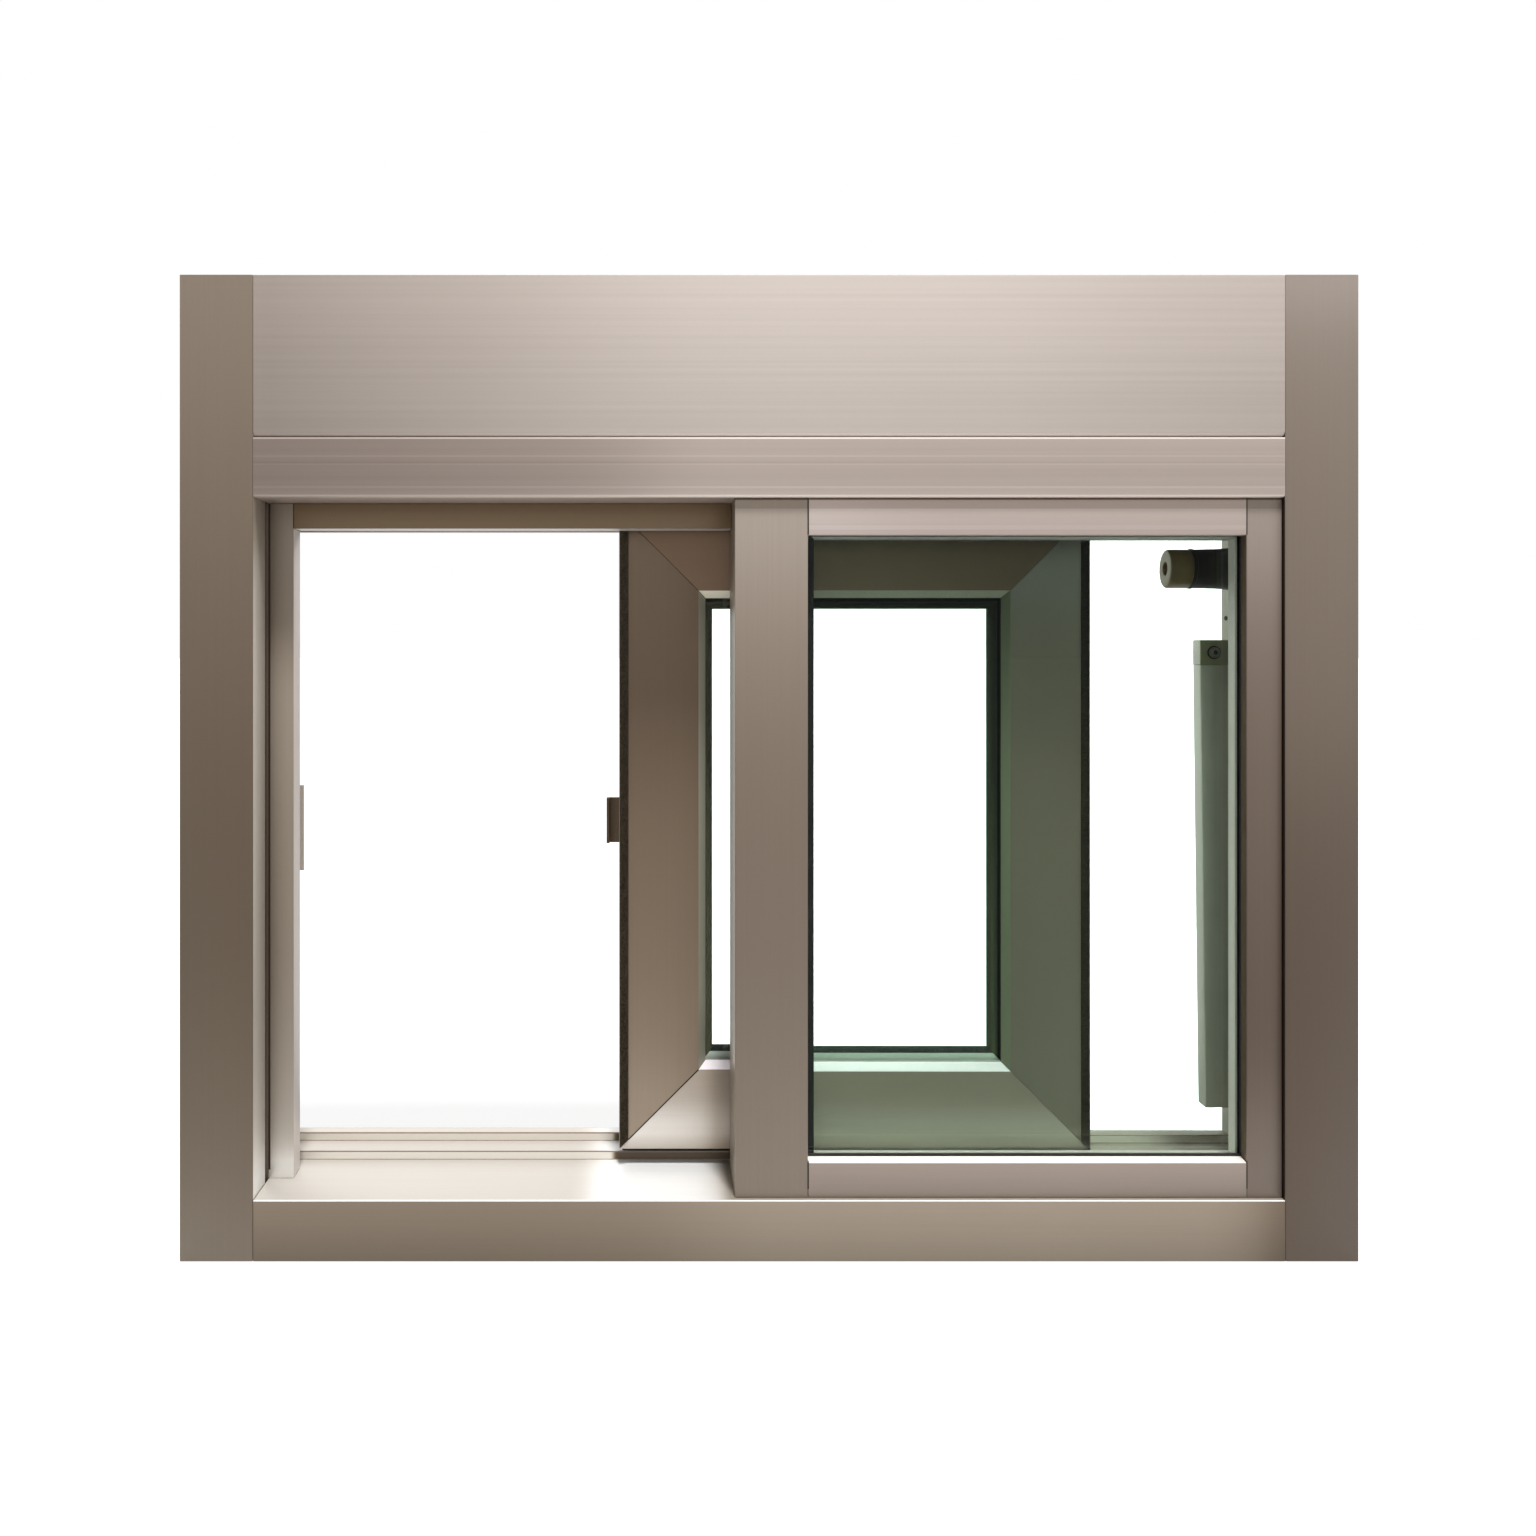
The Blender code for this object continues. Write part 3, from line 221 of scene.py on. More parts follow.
glassLook = {"tint": (0.90, 0.962, 0.925), "shadow": (0.87, 0.90, 0.88), "ior": 1.5}


def glassMaterial(name, look):
    # A pane that light passes straight through to what is behind it
    material, tree, shader = newMaterial(name, 0.0)
    shader.inputs["Base Color"].default_value = (*look["tint"], 1.0)
    shader.inputs["Transmission Weight"].default_value = 1.0
    shader.inputs["IOR"].default_value = look["ior"]
    clear = addNode(tree, "ShaderNodeBsdfTransparent")
    clear.inputs["Color"].default_value = (*look["shadow"], 1.0)
    path = addNode(tree, "ShaderNodeLightPath")
    mix = addNode(tree, "ShaderNodeMixShader")
    tree.links.new(path.outputs["Is Shadow Ray"], mix.inputs["Fac"])
    tree.links.new(shader.outputs["BSDF"], mix.inputs[1])
    tree.links.new(clear.outputs["BSDF"], mix.inputs[2])
    tree.links.new(mix.outputs["Shader"], tree.nodes["Material Output"].inputs["Surface"])
    return material


clearGlass = glassMaterial("clear_glass", glassLook)
# Colour, roughness, metallic, depth of the speckle and its scale
blackRubber = plain("black_rubber", srgb(27, 20, 17), 0.55)
gasketBlack = plain("gasket_black", srgb(30, 28, 25), 0.6)
blackSealantAndShade = plain("sealant_black", srgb(22, 22, 20), 0.5)
paintedHoleShade = plain("painted_hole_shade", srgb(18, 16, 14), 0.8)
zincSteel = plain("zinc_steel", srgb(150, 146, 138), 0.38, 0.7, 0.14, 300.0)
nylonBlack = plain("nylon_black", srgb(40, 39, 37), 0.5)
spacerMetal = plain("spacer_metal", srgb(238, 234, 222), 0.4, 0.2, 0.12, 400.0)
# The next three are lit and shaded copies of the spacer metal: painted light and shade
spacerShaded = plain("spacer_shaded", srgb(92, 90, 70), 0.45, 0.2, 0.12, 400.0)
paintedMidGrey = plain("painted_mid_grey", srgb(160, 158, 150), 0.45, 0.2, 0.12, 400.0)
spacerLit = plain("spacer_lit", srgb(240, 240, 232), 0.4, 0.1, 0.1, 400.0)
print("plain materials made")

# Each member's colour, the direction of its die lines, and the painted light and shade along it. The
# colours are painted light as well: one metal, made lighter or darker member by member as the light
# fell.
memberLooks = {
    "header_fascia": (
        (209, 196, 187),
        "X",
        [(-0.51, 0.67), (-0.33, 0.88), (-0.07, 1.19), (0.1, 1.23), (0.51, 1.02)],
    ),
    "header_bar": (
        (185, 170, 160),
        "X",
        [(-0.51, 0.55), (-0.33, 0.67), (-0.21, 0.78), (-0.02, 1.12), (0.51, 1.07)],
    ),
    "header_channel": ((186, 174, 167), "X", None),
    "head_track": ((165, 156, 148), "X", None),
    "left_jamb": (
        (128, 113, 97),
        "Z",
        [(0.0, 1.59), (0.17, 0.94), (0.4, 0.67), (0.63, 0.85), (1.0, 1.38)],
    ),
    "right_jamb": (
        (127, 112, 99),
        "Z",
        [(0.0, 0.92), (0.32, 0.64), (0.63, 1.09), (0.9, 1.53), (1.0, 2.15)],
    ),
    "sill": (
        (149, 134, 117),
        "X",
        [(-0.51, 0.88), (-0.17, 0.97), (0.03, 1.31), (0.44, 1.3), (0.53, 0.59)],
    ),
    "left_stop": (
        (169, 157, 143),
        "Z",
        [(0.08, 3.0), (0.13, 1.43), (0.3, 0.79), (0.41, 0.77), (0.57, 0.89), (0.68, 0.7), (0.75, 0.75)],
    ),
    "head_stop": ((124, 103, 78), "X", None),
    "mullion": (
        (151, 136, 122),
        "Z",
        [(0.09, 1.22), (0.24, 0.9), (0.42, 0.76), (0.6, 0.97), (0.75, 1.48)],
    ),
    "fixed_top_rail": ((208, 192, 183), "X", [(0.06, 1.16), (0.19, 1.01), (0.46, 0.96)]),
    "fixed_bottom_rail": ((169, 154, 143), "X", None),
    "fixed_right_stop": (
        (132, 117, 105),
        "Z",
        [(0.09, 1.3), (0.26, 0.65), (0.42, 0.72), (0.6, 0.98), (0.75, 1.73)],
    ),
    "fixed_inner_top": ((160, 150, 142), "X", None),
    "fixed_inner_bottom": ((150, 145, 132), "X", None),
    "fixed_inner_right": ((150, 140, 130), "Z", None),
    "sash_left_stile": (
        (132, 114, 95),
        "Z",
        [(0.14, 1.87), (0.24, 1.27), (0.4, 0.9), (0.56, 0.7), (0.74, 0.92)],
    ),
    "sash_right_stile": (
        (146, 134, 119),
        "Z",
        [(0.14, 1.20), (0.30, 0.98), (0.50, 0.85), (0.60, 1.08), (0.72, 2.2)],
    ),
    "sash_top_rail": ((132, 108, 86), "X", [(-0.15, 0.78), (-0.04, 0.78), (0.05, 1.7), (0.36, 1.25)]),
    "sash_bottom_rail": (
        (175, 163, 149),
        "X",
        [
            (-0.15, 1.5),
            (-0.078, 1.27),
            (-0.056, 0.98),
            (-0.046, 0.82),
            (-0.03, 0.8),
            (0.05, 0.86),
            (0.36, 0.86),
        ],
    ),
    "sash_bead_left": ((140, 130, 120), "Z", None),
    "sash_bead_right": ((140, 130, 120), "Z", None),
    "sash_bead_top": ((140, 130, 120), "X", None),
    "sash_bead_bottom": ((140, 130, 120), "X", None),
    "interior_pull": ((170, 160, 150), "Z", None),
    "security_bar": ((229, 224, 210), "Z", None),
    "bar_pivot_block": ((164, 160, 124), "Z", None),
}
# Painted light and shade: faces that look up, down or sideways on some members get lighter or darker
# copies of the metal as the light falls on them, with painted highlights, reflections and shadows along
# some. depth keeps a rule to faces between two depths, and spread says how far a face may turn.
slopeTilt = (0.824, 0.567)  # towards the front and the glass, on the sash's sight edges
paintedFaceLooks = {
    "sill": [
        # The sill's top with a painted pool of light and the mullion's painted shadow
        {
            "direction": (0, 0, 1),
            "colour": (190, 184, 176),
            "paintedShading": [(-0.51, 1.04), (-0.21, 1.0), (-0.15, 1.75), (-0.075, 1.7), (-0.038, 0.6)],
        },
        # The rib fronts, darkened under the sash by a painted shadow
        {
            "direction": (0, -1, 0),
            "colour": (238, 232, 222),
            "depth": (0.02, 0.12),
            "paintedShading": [(-0.5, 1.0), (-0.166, 1.0), (-0.158, 0.1), (-0.036, 0.1), (0.0, 1.0)],
        },
        # A painted highlight on the sill's front edge
        {"direction": (0, -0.7, 0.7), "colour": (255, 252, 246), "depth": (0.0, 0.01), "spread": 0.8},
    ],
    "mullion": [
        {
            "direction": (-1, 0, 0),
            "colour": (246, 242, 236),
            "paintedShading": [
                (0.08, 0.3),
                (0.18, 0.32),
                (0.2, 0.75),
                (0.225, 1.0),
                (0.655, 1.0),
                (0.675, 0.4),
                (0.72, 0.22),
            ],
        }
    ],
    "left_stop": [
        {
            "direction": (1, 0, 0),
            "colour": (205, 196, 188),
            "paintedShading": [(0.08, 1.25), (0.15, 1.2), (0.36, 1.1), (0.57, 0.9), (0.75, 1.02)],
        }
    ],
    "left_jamb": [
        {
            "direction": (1, 0, 0),
            "colour": (200, 192, 180),
            "paintedShading": [(0.08, 2.0), (0.14, 1.28), (0.3, 1.02), (0.58, 1.03), (0.7, 0.92), (0.74, 0.66)],
        }
    ],
    "right_jamb": [
        # Painted shade in the jamb's front corner and painted light on its pocket wall
        {"direction": (-1, 0, 0), "colour": (40, 26, 22), "depth": (0.0, 0.02)},
        {"direction": (-1, 0, 0), "colour": (186, 182, 170), "depth": (0.05, 0.12)},
    ],
    "head_stop": [{"direction": (0, 0, -1), "colour": (226, 220, 212)}],
    "fixed_right_stop": [{"direction": (-1, 0, 0), "colour": (98, 82, 64), "depth": (0.0, 0.02)}],
    "fixed_bottom_rail": [{"direction": (0, -0.25, 0.97), "colour": (250, 246, 240)}],
    "fixed_inner_bottom": [{"direction": (0, 0, 1), "colour": (200, 198, 186)}],
    "sash_bottom_rail": [
        # A painted highlight on the lower sight edge and painted shade on the underside
        {"direction": (0, -slopeTilt[0], slopeTilt[1]), "colour": (255, 247, 250)},
        {"direction": (0, 0, -1), "colour": (60, 50, 42)},
    ],
    "sash_top_rail": [
        {"direction": (0, -slopeTilt[0], -slopeTilt[1]), "colour": (235, 228, 208)}
    ],
    "sash_left_stile": [
        {"direction": (slopeTilt[1], -slopeTilt[0], 0), "colour": (163, 162, 145)}
    ],
    "sash_right_stile": [
        {"direction": (-slopeTilt[1], -slopeTilt[0], 0), "colour": (150, 152, 126)}
    ],
    "security_bar": [{"direction": (-1, 0, 0), "colour": (228, 225, 214)}],
    "bar_pivot_block": [{"direction": (-1, 0, 0), "colour": (228, 225, 214)}],
}
# Level stripes on the fronts: grooves, painted highlights on edges, and the painted shadow and dark
# line below the header
headerShadowBands = ((0.7763, 0.0054, 0.76), (0.7807, 0.0011, 0.35))
bandLooks = {
    "header_bar": (
        (0.8424, 0.0009, 2.1),
        (0.8239, 0.0008, 1.14),
        (0.8178, 0.0008, 0.93),
        (0.8155, 0.0008, 1.12),
        (0.7922, 0.0012, 1.14),
        (0.7832, 0.0012, 1.5),
    ),
    "header_fascia": ((0.8462, 0.0010, 1.12),),
    "mullion": headerShadowBands,
    "fixed_top_rail": (*headerShadowBands, (0.7515, 0.0022, 1.10)),
    "fixed_right_stop": headerShadowBands,
}
# Painted light and shade from each member's foot up: a painted reflection low on the sash's bottom
# rail, and a painted highlight on the header bar's lower edge
paintedRiseLooks = {
    "sash_bottom_rail": [
        (0.080, 0.95),
        (0.090, 1.3),
        (0.100, 1.55),
        (0.110, 1.5),
        (0.122, 1.25),
        (0.135, 0.97),
        (0.160, 0.8),
    ],
    "header_bar": [(0.783, 1.3), (0.790, 1.18), (0.800, 1.08), (0.818, 1.03), (0.845, 1.0)],
}
# The header's fronts show their draw lines as wide, long streaks
streakyLook = {
    **metalLook,
    "lineScale": 210.0,
    "lineStretch": 0.0025,
    "lineTone": 0.22,
    "warmth": (0.93, 1.0, 1.05),
}
lineLooks = {"header_fascia": streakyLook, "header_bar": streakyLook}
memberMaterials = {
    name: anodised(
        f"metal_{name}",
        srgb(*colour),
        along,
        paintedShading,
        bandLooks.get(name, ()),
        paintedRiseLooks.get(name),
        lineLooks.get(name, metalLook),
    )
    for name, (colour, along, paintedShading) in memberLooks.items()
}


smoothAngle = 35.0  # degrees. Edges that turn more than this stay sharp.


def finishPiece(item, replaced=()):
    mesh = item.data
    mesh.shade_smooth()
    mesh.set_sharp_from_angle(angle=math.radians(smoothAngle))
    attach(item, "root")
    if replaced:
        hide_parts(*replaced)
    return item


def addPiece(name, bm, material, replaced=()):
    bmesh.ops.recalc_face_normals(bm, faces=bm.faces)
    mesh = bpy.data.meshes.new(name)
    bm.to_mesh(mesh)
    bm.free()
    for entry in material if isinstance(material, (list, tuple)) else [material]:
        mesh.materials.append(entry)
    item = bpy.data.objects.new(name, mesh)
    bpy.context.scene.collection.objects.link(item)
    return finishPiece(item, replaced)


barLook = {"endZone": 0.01, "gap": 0.0001}


def closeBar(bm):
    # The bar's top edge meets its block, although the bar leans
    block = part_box("bar_pivot_block")[0].z
    top = max(vert.co.z for vert in bm.verts)
    for vert in bm.verts:
        if vert.co.z > top - barLook["endZone"]:
            vert.co.z = block - barLook["gap"]


edgeLook = {"width": 0.0005, "segments": 2, "sharp": 50.0}
gasketEdge = {"width": 0.0004, "segments": 3, "sharp": 50.0}
hardwareEdge = {"width": 0.0003, "segments": 2, "sharp": 50.0}
cleanRules = {"merge": 1e-6, "flatAngle": 0.5, "profile": 0.5}
faceRules = {"frontTilt": -0.3, "spread": 0.93}


def easedCopy(name, material, look=edgeLook):
    # The CAD piece with its sharp edges broken, so that they catch the light
    bm = bmesh.new()
    bm.from_mesh(nodes[name].data)
    if name == "security_bar":
        closeBar(bm)
    bmesh.ops.remove_doubles(bm, verts=bm.verts, dist=cleanRules["merge"])
    flat = math.radians(cleanRules["flatAngle"])
    bmesh.ops.dissolve_limit(bm, angle_limit=flat, verts=bm.verts, edges=bm.edges)
    sharp = [
        edge
        for edge in bm.edges
        if len(edge.link_faces) == 2
        and edge.calc_face_angle(0.0) > math.radians(look["sharp"])
    ]
    bmesh.ops.bevel(
        bm,
        geom=sharp,
        offset=look["width"],
        segments=look["segments"],
        profile=cleanRules["profile"],
        affect="EDGES",
        clamp_overlap=True,
    )
    bmesh.ops.triangulate(bm, faces=[f for f in bm.faces if len(f.verts) > 4])
    bm.normal_update()
    materials = [material]
    if name in memberLooks:
        # The painted light and shade stops are those of the front. The sides and the back have an even
        # tone.
        colour, along, _ = memberLooks[name]
        materials.append(anodised(f"metal_{name}_side", srgb(*colour), along))
        for face in bm.faces:
            face.material_index = 0 if face.normal.y < faceRules["frontTilt"] else 1
    # Each rule gets a lighter or darker copy of the metal: painted light and shade
    for rule in paintedFaceLooks.get(name, ()):
        label = f"metal_{name}_{len(materials)}"
        materials.append(anodised(label, srgb(*rule["colour"]), along, rule.get("paintedShading")))
        direction = Vector(rule["direction"]).normalized()
        spread = rule.get("spread", faceRules["spread"])
        start, end = rule.get("depth", (0.0, 1.0))
        for face in bm.faces:
            depth = face.calc_center_median().y - frontY
            if face.normal.dot(direction) > spread and start <= depth <= end:
                face.material_index = len(materials) - 1
    return addPiece(f"{name}_eased", bm, materials, (name,))


for memberName, memberMaterial in memberMaterials.items():
    easedCopy(memberName, memberMaterial)
print("aluminium members made")

for paneName in ("fixed_glass_outer", "fixed_glass_inner", "sash_glass_outer", "sash_glass_inner"):
    nodes[paneName].data.materials[0] = clearGlass


def ringMesh(bm, section, low, high, slots):
    # A closed section (inward, y) run round a rectangle in x and z, mitred at its corners.
    # slots has a list of material slots for the left, bottom, right and top run.
    rings = []
    for inward, y in section:
        corners = (
            (low[0] + inward, low[1] + inward),
            (high[0] - inward, low[1] + inward),
            (high[0] - inward, high[1] - inward),
            (low[0] + inward, high[1] - inward),
        )
        rings.append([bm.verts.new((x, y, z)) for x, z in corners])
    for number in range(len(rings)):
        one, two = rings[number - 1], rings[number]
        for side in range(4):
            face = bm.faces.new((one[side - 1], one[side], two[side], two[side - 1]))
            face.material_index = slots[side][number]


def innerCorners(name):
    # The corners of a ring's opening, in x and z
    across = sorted({round(v.co.x, 5) for v in nodes[name].data.vertices})
    heights = sorted({round(v.co.z, 5) for v in nodes[name].data.vertices})
    return (across[1], heights[1]), (across[2], heights[2])


def frameMesh(bm, outer, inner, y0, y1):
    # A flat frame between two rectangles
    loops = []
    for (low, high), y in ((outer, y0), (inner, y0), (inner, y1), (outer, y1)):
        corners = ((low[0], low[1]), (high[0], low[1]), (high[0], high[1]), (low[0], high[1]))
        loops.append([bm.verts.new((x, y, z)) for x, z in corners])
    for number in range(4):
        one, two = loops[number - 1], loops[number]
        for side in range(4):
            bm.faces.new((one[side - 1], one[side], two[side], two[side - 1]))


sealantLook = {"gap": 0.0001, "margin": 0.0005}


def glazing(prefix, profile, materials, slots):
    # Spacer bar with the sealant behind it. The profile is (outwards from the inner edge,
    # share of the air gap's depth).
    paneLow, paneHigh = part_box(f"{prefix}_glass_outer")
    spacerLow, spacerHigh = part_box(f"{prefix}_spacer")
    low, high = innerCorners(f"{prefix}_spacer")
    start = spacerLow.y
    depth = spacerHigh.y - start
    bm = bmesh.new()
    section = [(-outwards, start + share * depth) for outwards, share in profile]
    ringMesh(bm, section, low, high, slots)
    addPiece(f"{prefix}_spacer_bar", bm, materials, (f"{prefix}_spacer",))
    gap, margin = sealantLook["gap"], sealantLook["margin"]
    width = max(outwards for outwards, _ in profile) + gap
    inner = ((low[0] - width, low[1] - width), (high[0] + width, high[1] + width))
    outer = (
        (paneLow.x + margin, paneLow.z + margin),
        (paneHigh.x - margin, paneHigh.z - margin),
    )
    bm = bmesh.new()
    frameMesh(bm, outer, inner, start + gap, start + depth - gap)
    addPiece(f"{prefix}_sealant", bm, blackSealantAndShade)


# On the fixed pane the spacer's left run is all black and its bottom run mid grey: painted shade
glazing(
    "fixed",
    [
        (0.0060, 0.02),
        (0.0024, 0.02),
        (0.0005, 0.02),
        (0.0, 0.07),
        (0.0, 0.93),
        (0.0005, 0.98),
        (0.0060, 0.98),
    ],
    [spacerMetal, blackSealantAndShade, paintedMidGrey],
    [[1] * 7, [1, 1, 2, 2, 2, 2, 1], [1, 1, 0, 0, 0, 0, 1], [1, 1, 0, 0, 0, 0, 1]],
)
# On the sash the spacer's bottom shoulders take the lit grey, painted light, and its other runs the
# shaded grey, painted shade
glazing(
    "sash",
    [
        (0.0120, 0.02),
        (0.0076, 0.02),
        (0.0031, 0.17),
        (0.0006, 0.40),
        (0.0, 0.64),
        (0.0, 0.98),
        (0.0120, 0.98),
    ],
    [spacerShaded, blackSealantAndShade, spacerLit],
    [[1, 1, 0, 0, 0, 0, 1], [1, 2, 2, 1, 1, 1, 1], [1, 1, 0, 0, 0, 0, 1], [1, 1, 0, 0, 0, 0, 1]],
)
easedCopy("fixed_gasket", gasketBlack, gasketEdge)
sashGasket = easedCopy("sash_gasket", gasketBlack, gasketEdge)
# Painted light: the sash gasket's lower run takes a lighter grey than the rest
litRunHeight = 0.012
sashGasket.data.materials.append(paintedMidGrey)
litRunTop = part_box("sash_gasket")[0].z + litRunHeight
for polygon in sashGasket.data.polygons:
    if polygon.center.z < litRunTop:
        polygon.material_index = 1
print("glazing made")


def addBox(bm, x0, x1, y0, y1, z0, z1):
    grid = bmesh.ops.create_cube(bm, size=1.0)
    for vert in grid["verts"]:
        x, y, z = vert.co
        vert.co = (
            x0 if x < 0 else x1,
            y0 if y < 0 else y1,
            z0 if z < 0 else z1,
        )


# Joint seams stand a hair proud of the members they run along
seamLook = {
    "proud": 0.00015,
    "sink": 0.0003,
    "endGap": 0.0005,
    "stopWidth": 0.0020,
    "headLap": 0.0003,
    "lap": 0.0004,
    "reach": 0.0005,
    "farReach": 0.0006,
    "mitreStart": 0.0100,
    "mitreEnd": 0.0866,
    "mitreHalf": 0.0004,
}
proud, sink, endGap = (seamLook[key] for key in ("proud", "sink", "endGap"))
lap, seamReach, farReach = (seamLook[key] for key in ("lap", "reach", "farReach"))
stopLow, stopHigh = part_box("left_stop")
headLow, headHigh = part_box("head_stop")
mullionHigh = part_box("mullion")[1]
topLow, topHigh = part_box("fixed_top_rail")
bottomLow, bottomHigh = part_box("fixed_bottom_rail")
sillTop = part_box("sill")[1].z
bm = bmesh.new()
for x0, x1, front, z0, z1 in (
    (stopLow.x, stopLow.x + seamLook["stopWidth"], stopLow.y, sillTop, stopHigh.z),
    (headLow.x - seamLook["headLap"], headLow.x + seamReach, headLow.y, headLow.z, headHigh.z),
    (mullionHigh.x - lap, topLow.x + seamReach, topLow.y, topLow.z, topHigh.z),
    (mullionHigh.x - lap, bottomLow.x + seamReach, bottomLow.y, sillTop, bottomHigh.z),
    (topHigh.x - lap, topHigh.x + farReach, topLow.y, topLow.z, topHigh.z),
    (bottomHigh.x - lap, bottomHigh.x + farReach, bottomLow.y, sillTop, bottomHigh.z),
):
    addBox(bm, x0, x1, front - proud, front + sink, z0 + endGap, z1 - endGap)
# The mitre at the sash's lower left corner
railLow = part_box("sash_bottom_rail")[0]
near, far, half = (seamLook[key] for key in ("mitreStart", "mitreEnd", "mitreHalf"))
mitre = [
    bm.verts.new((railLow.x + along + across, railLow.y + offset, railLow.z + along - across))
    for offset in (-proud, sink)
    for along, across in ((near, half), (far, half), (far, -half), (near, -half))
]
bm.faces.new(mitre[:4])
bm.faces.new(mitre[:3:-1])
for number in range(4):
    following = (number + 1) % 4
    bm.faces.new((mitre[number], mitre[number + 4], mitre[following + 4], mitre[following]))
addPiece("joint_seams", bm, plain("seam_brown", srgb(46, 34, 27), 0.7))
# The glazing gasket's lip shows along the foot of the fixed pane
lipLook = {"glassGap": 0.0001, "below": 0.0008, "above": 0.0018}
lipLow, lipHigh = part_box("fixed_gasket")
bm = bmesh.new()
addBox(
    bm,
    topLow.x,
    topHigh.x,
    lipLow.y,
    lipHigh.y - lipLook["glassGap"],
    bottomHigh.z - lipLook["below"],
    bottomHigh.z + lipLook["above"],
)
addPiece("fixed_gasket_lip", bm, gasketBlack)
# The right jamb's pocket ends in a thin return at the back
# Its colour is the lighter grey painted on the pocket wall: painted light
pocketLook = {
    "colour": (186, 180, 168),
    "face": 0.5400,
    "wall": 0.5430,
    "depth": 0.0150,
    "gap": 0.0003,
    "holes": (0.662, 0.595, 0.493),
    "hole": {"radii": (0.0027, 0.0027), "places": (0.0, 0.0004), "sides": 24},
    "holeDepth": 0.107,
    "holeProud": 0.0002,
}
returnMetal = anodised("metal_pocket_return", srgb(*pocketLook["colour"]), "Z")
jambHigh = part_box("right_jamb")[1]
bm = bmesh.new()
addBox(
    bm,
    pocketLook["face"],
    pocketLook["wall"],
    jambHigh.y - pocketLook["depth"],
    jambHigh.y - pocketLook["gap"],
    sillTop + pocketLook["gap"],
    mullionHigh.z,
)
addPiece("pocket_return", bm, returnMetal)
print("seams, lip and pocket return made")

# Brush strips. The first six values belong to their finish, the rest to their bristles.
pileLook = {
    "colour": (66, 57, 42),
    "roughness": 0.9,
    "hairScale": 1900.0,
    "hairMiddle": 0.5,
    "hairContrast": 9.0,
    "tones": (0.45, 2.6),
    "Density": 2.2e6,
    "Bristle Radius": 0.00016,
    "Lean": 0.10,
    "sides": 3,
    "tip": 0.45,
    "shortest": 0.84,
    "core": 0.62,
    "sillHalf": 0.0021,
    "seeds": {"left": 11, "right": 23, "bottom": 37},
}
pileMaterial, pileTree, pileShader = newMaterial("brush_pile", pileLook["roughness"])
hairs = addNoise(pileTree, objectPlace(pileTree), pileLook["hairScale"])
hairs = addMath(pileTree, "SUBTRACT", hairs, pileLook["hairMiddle"])
hairs = addMath(pileTree, "MULTIPLY", hairs, pileLook["hairContrast"], clamp=True)
darkTone, lightTone = pileLook["tones"]
hairTone = addMath(pileTree, "ADD", addMath(pileTree, "MULTIPLY", hairs, lightTone), darkTone)
tinted(pileTree, pileShader, srgb(*pileLook["colour"]), hairTone)


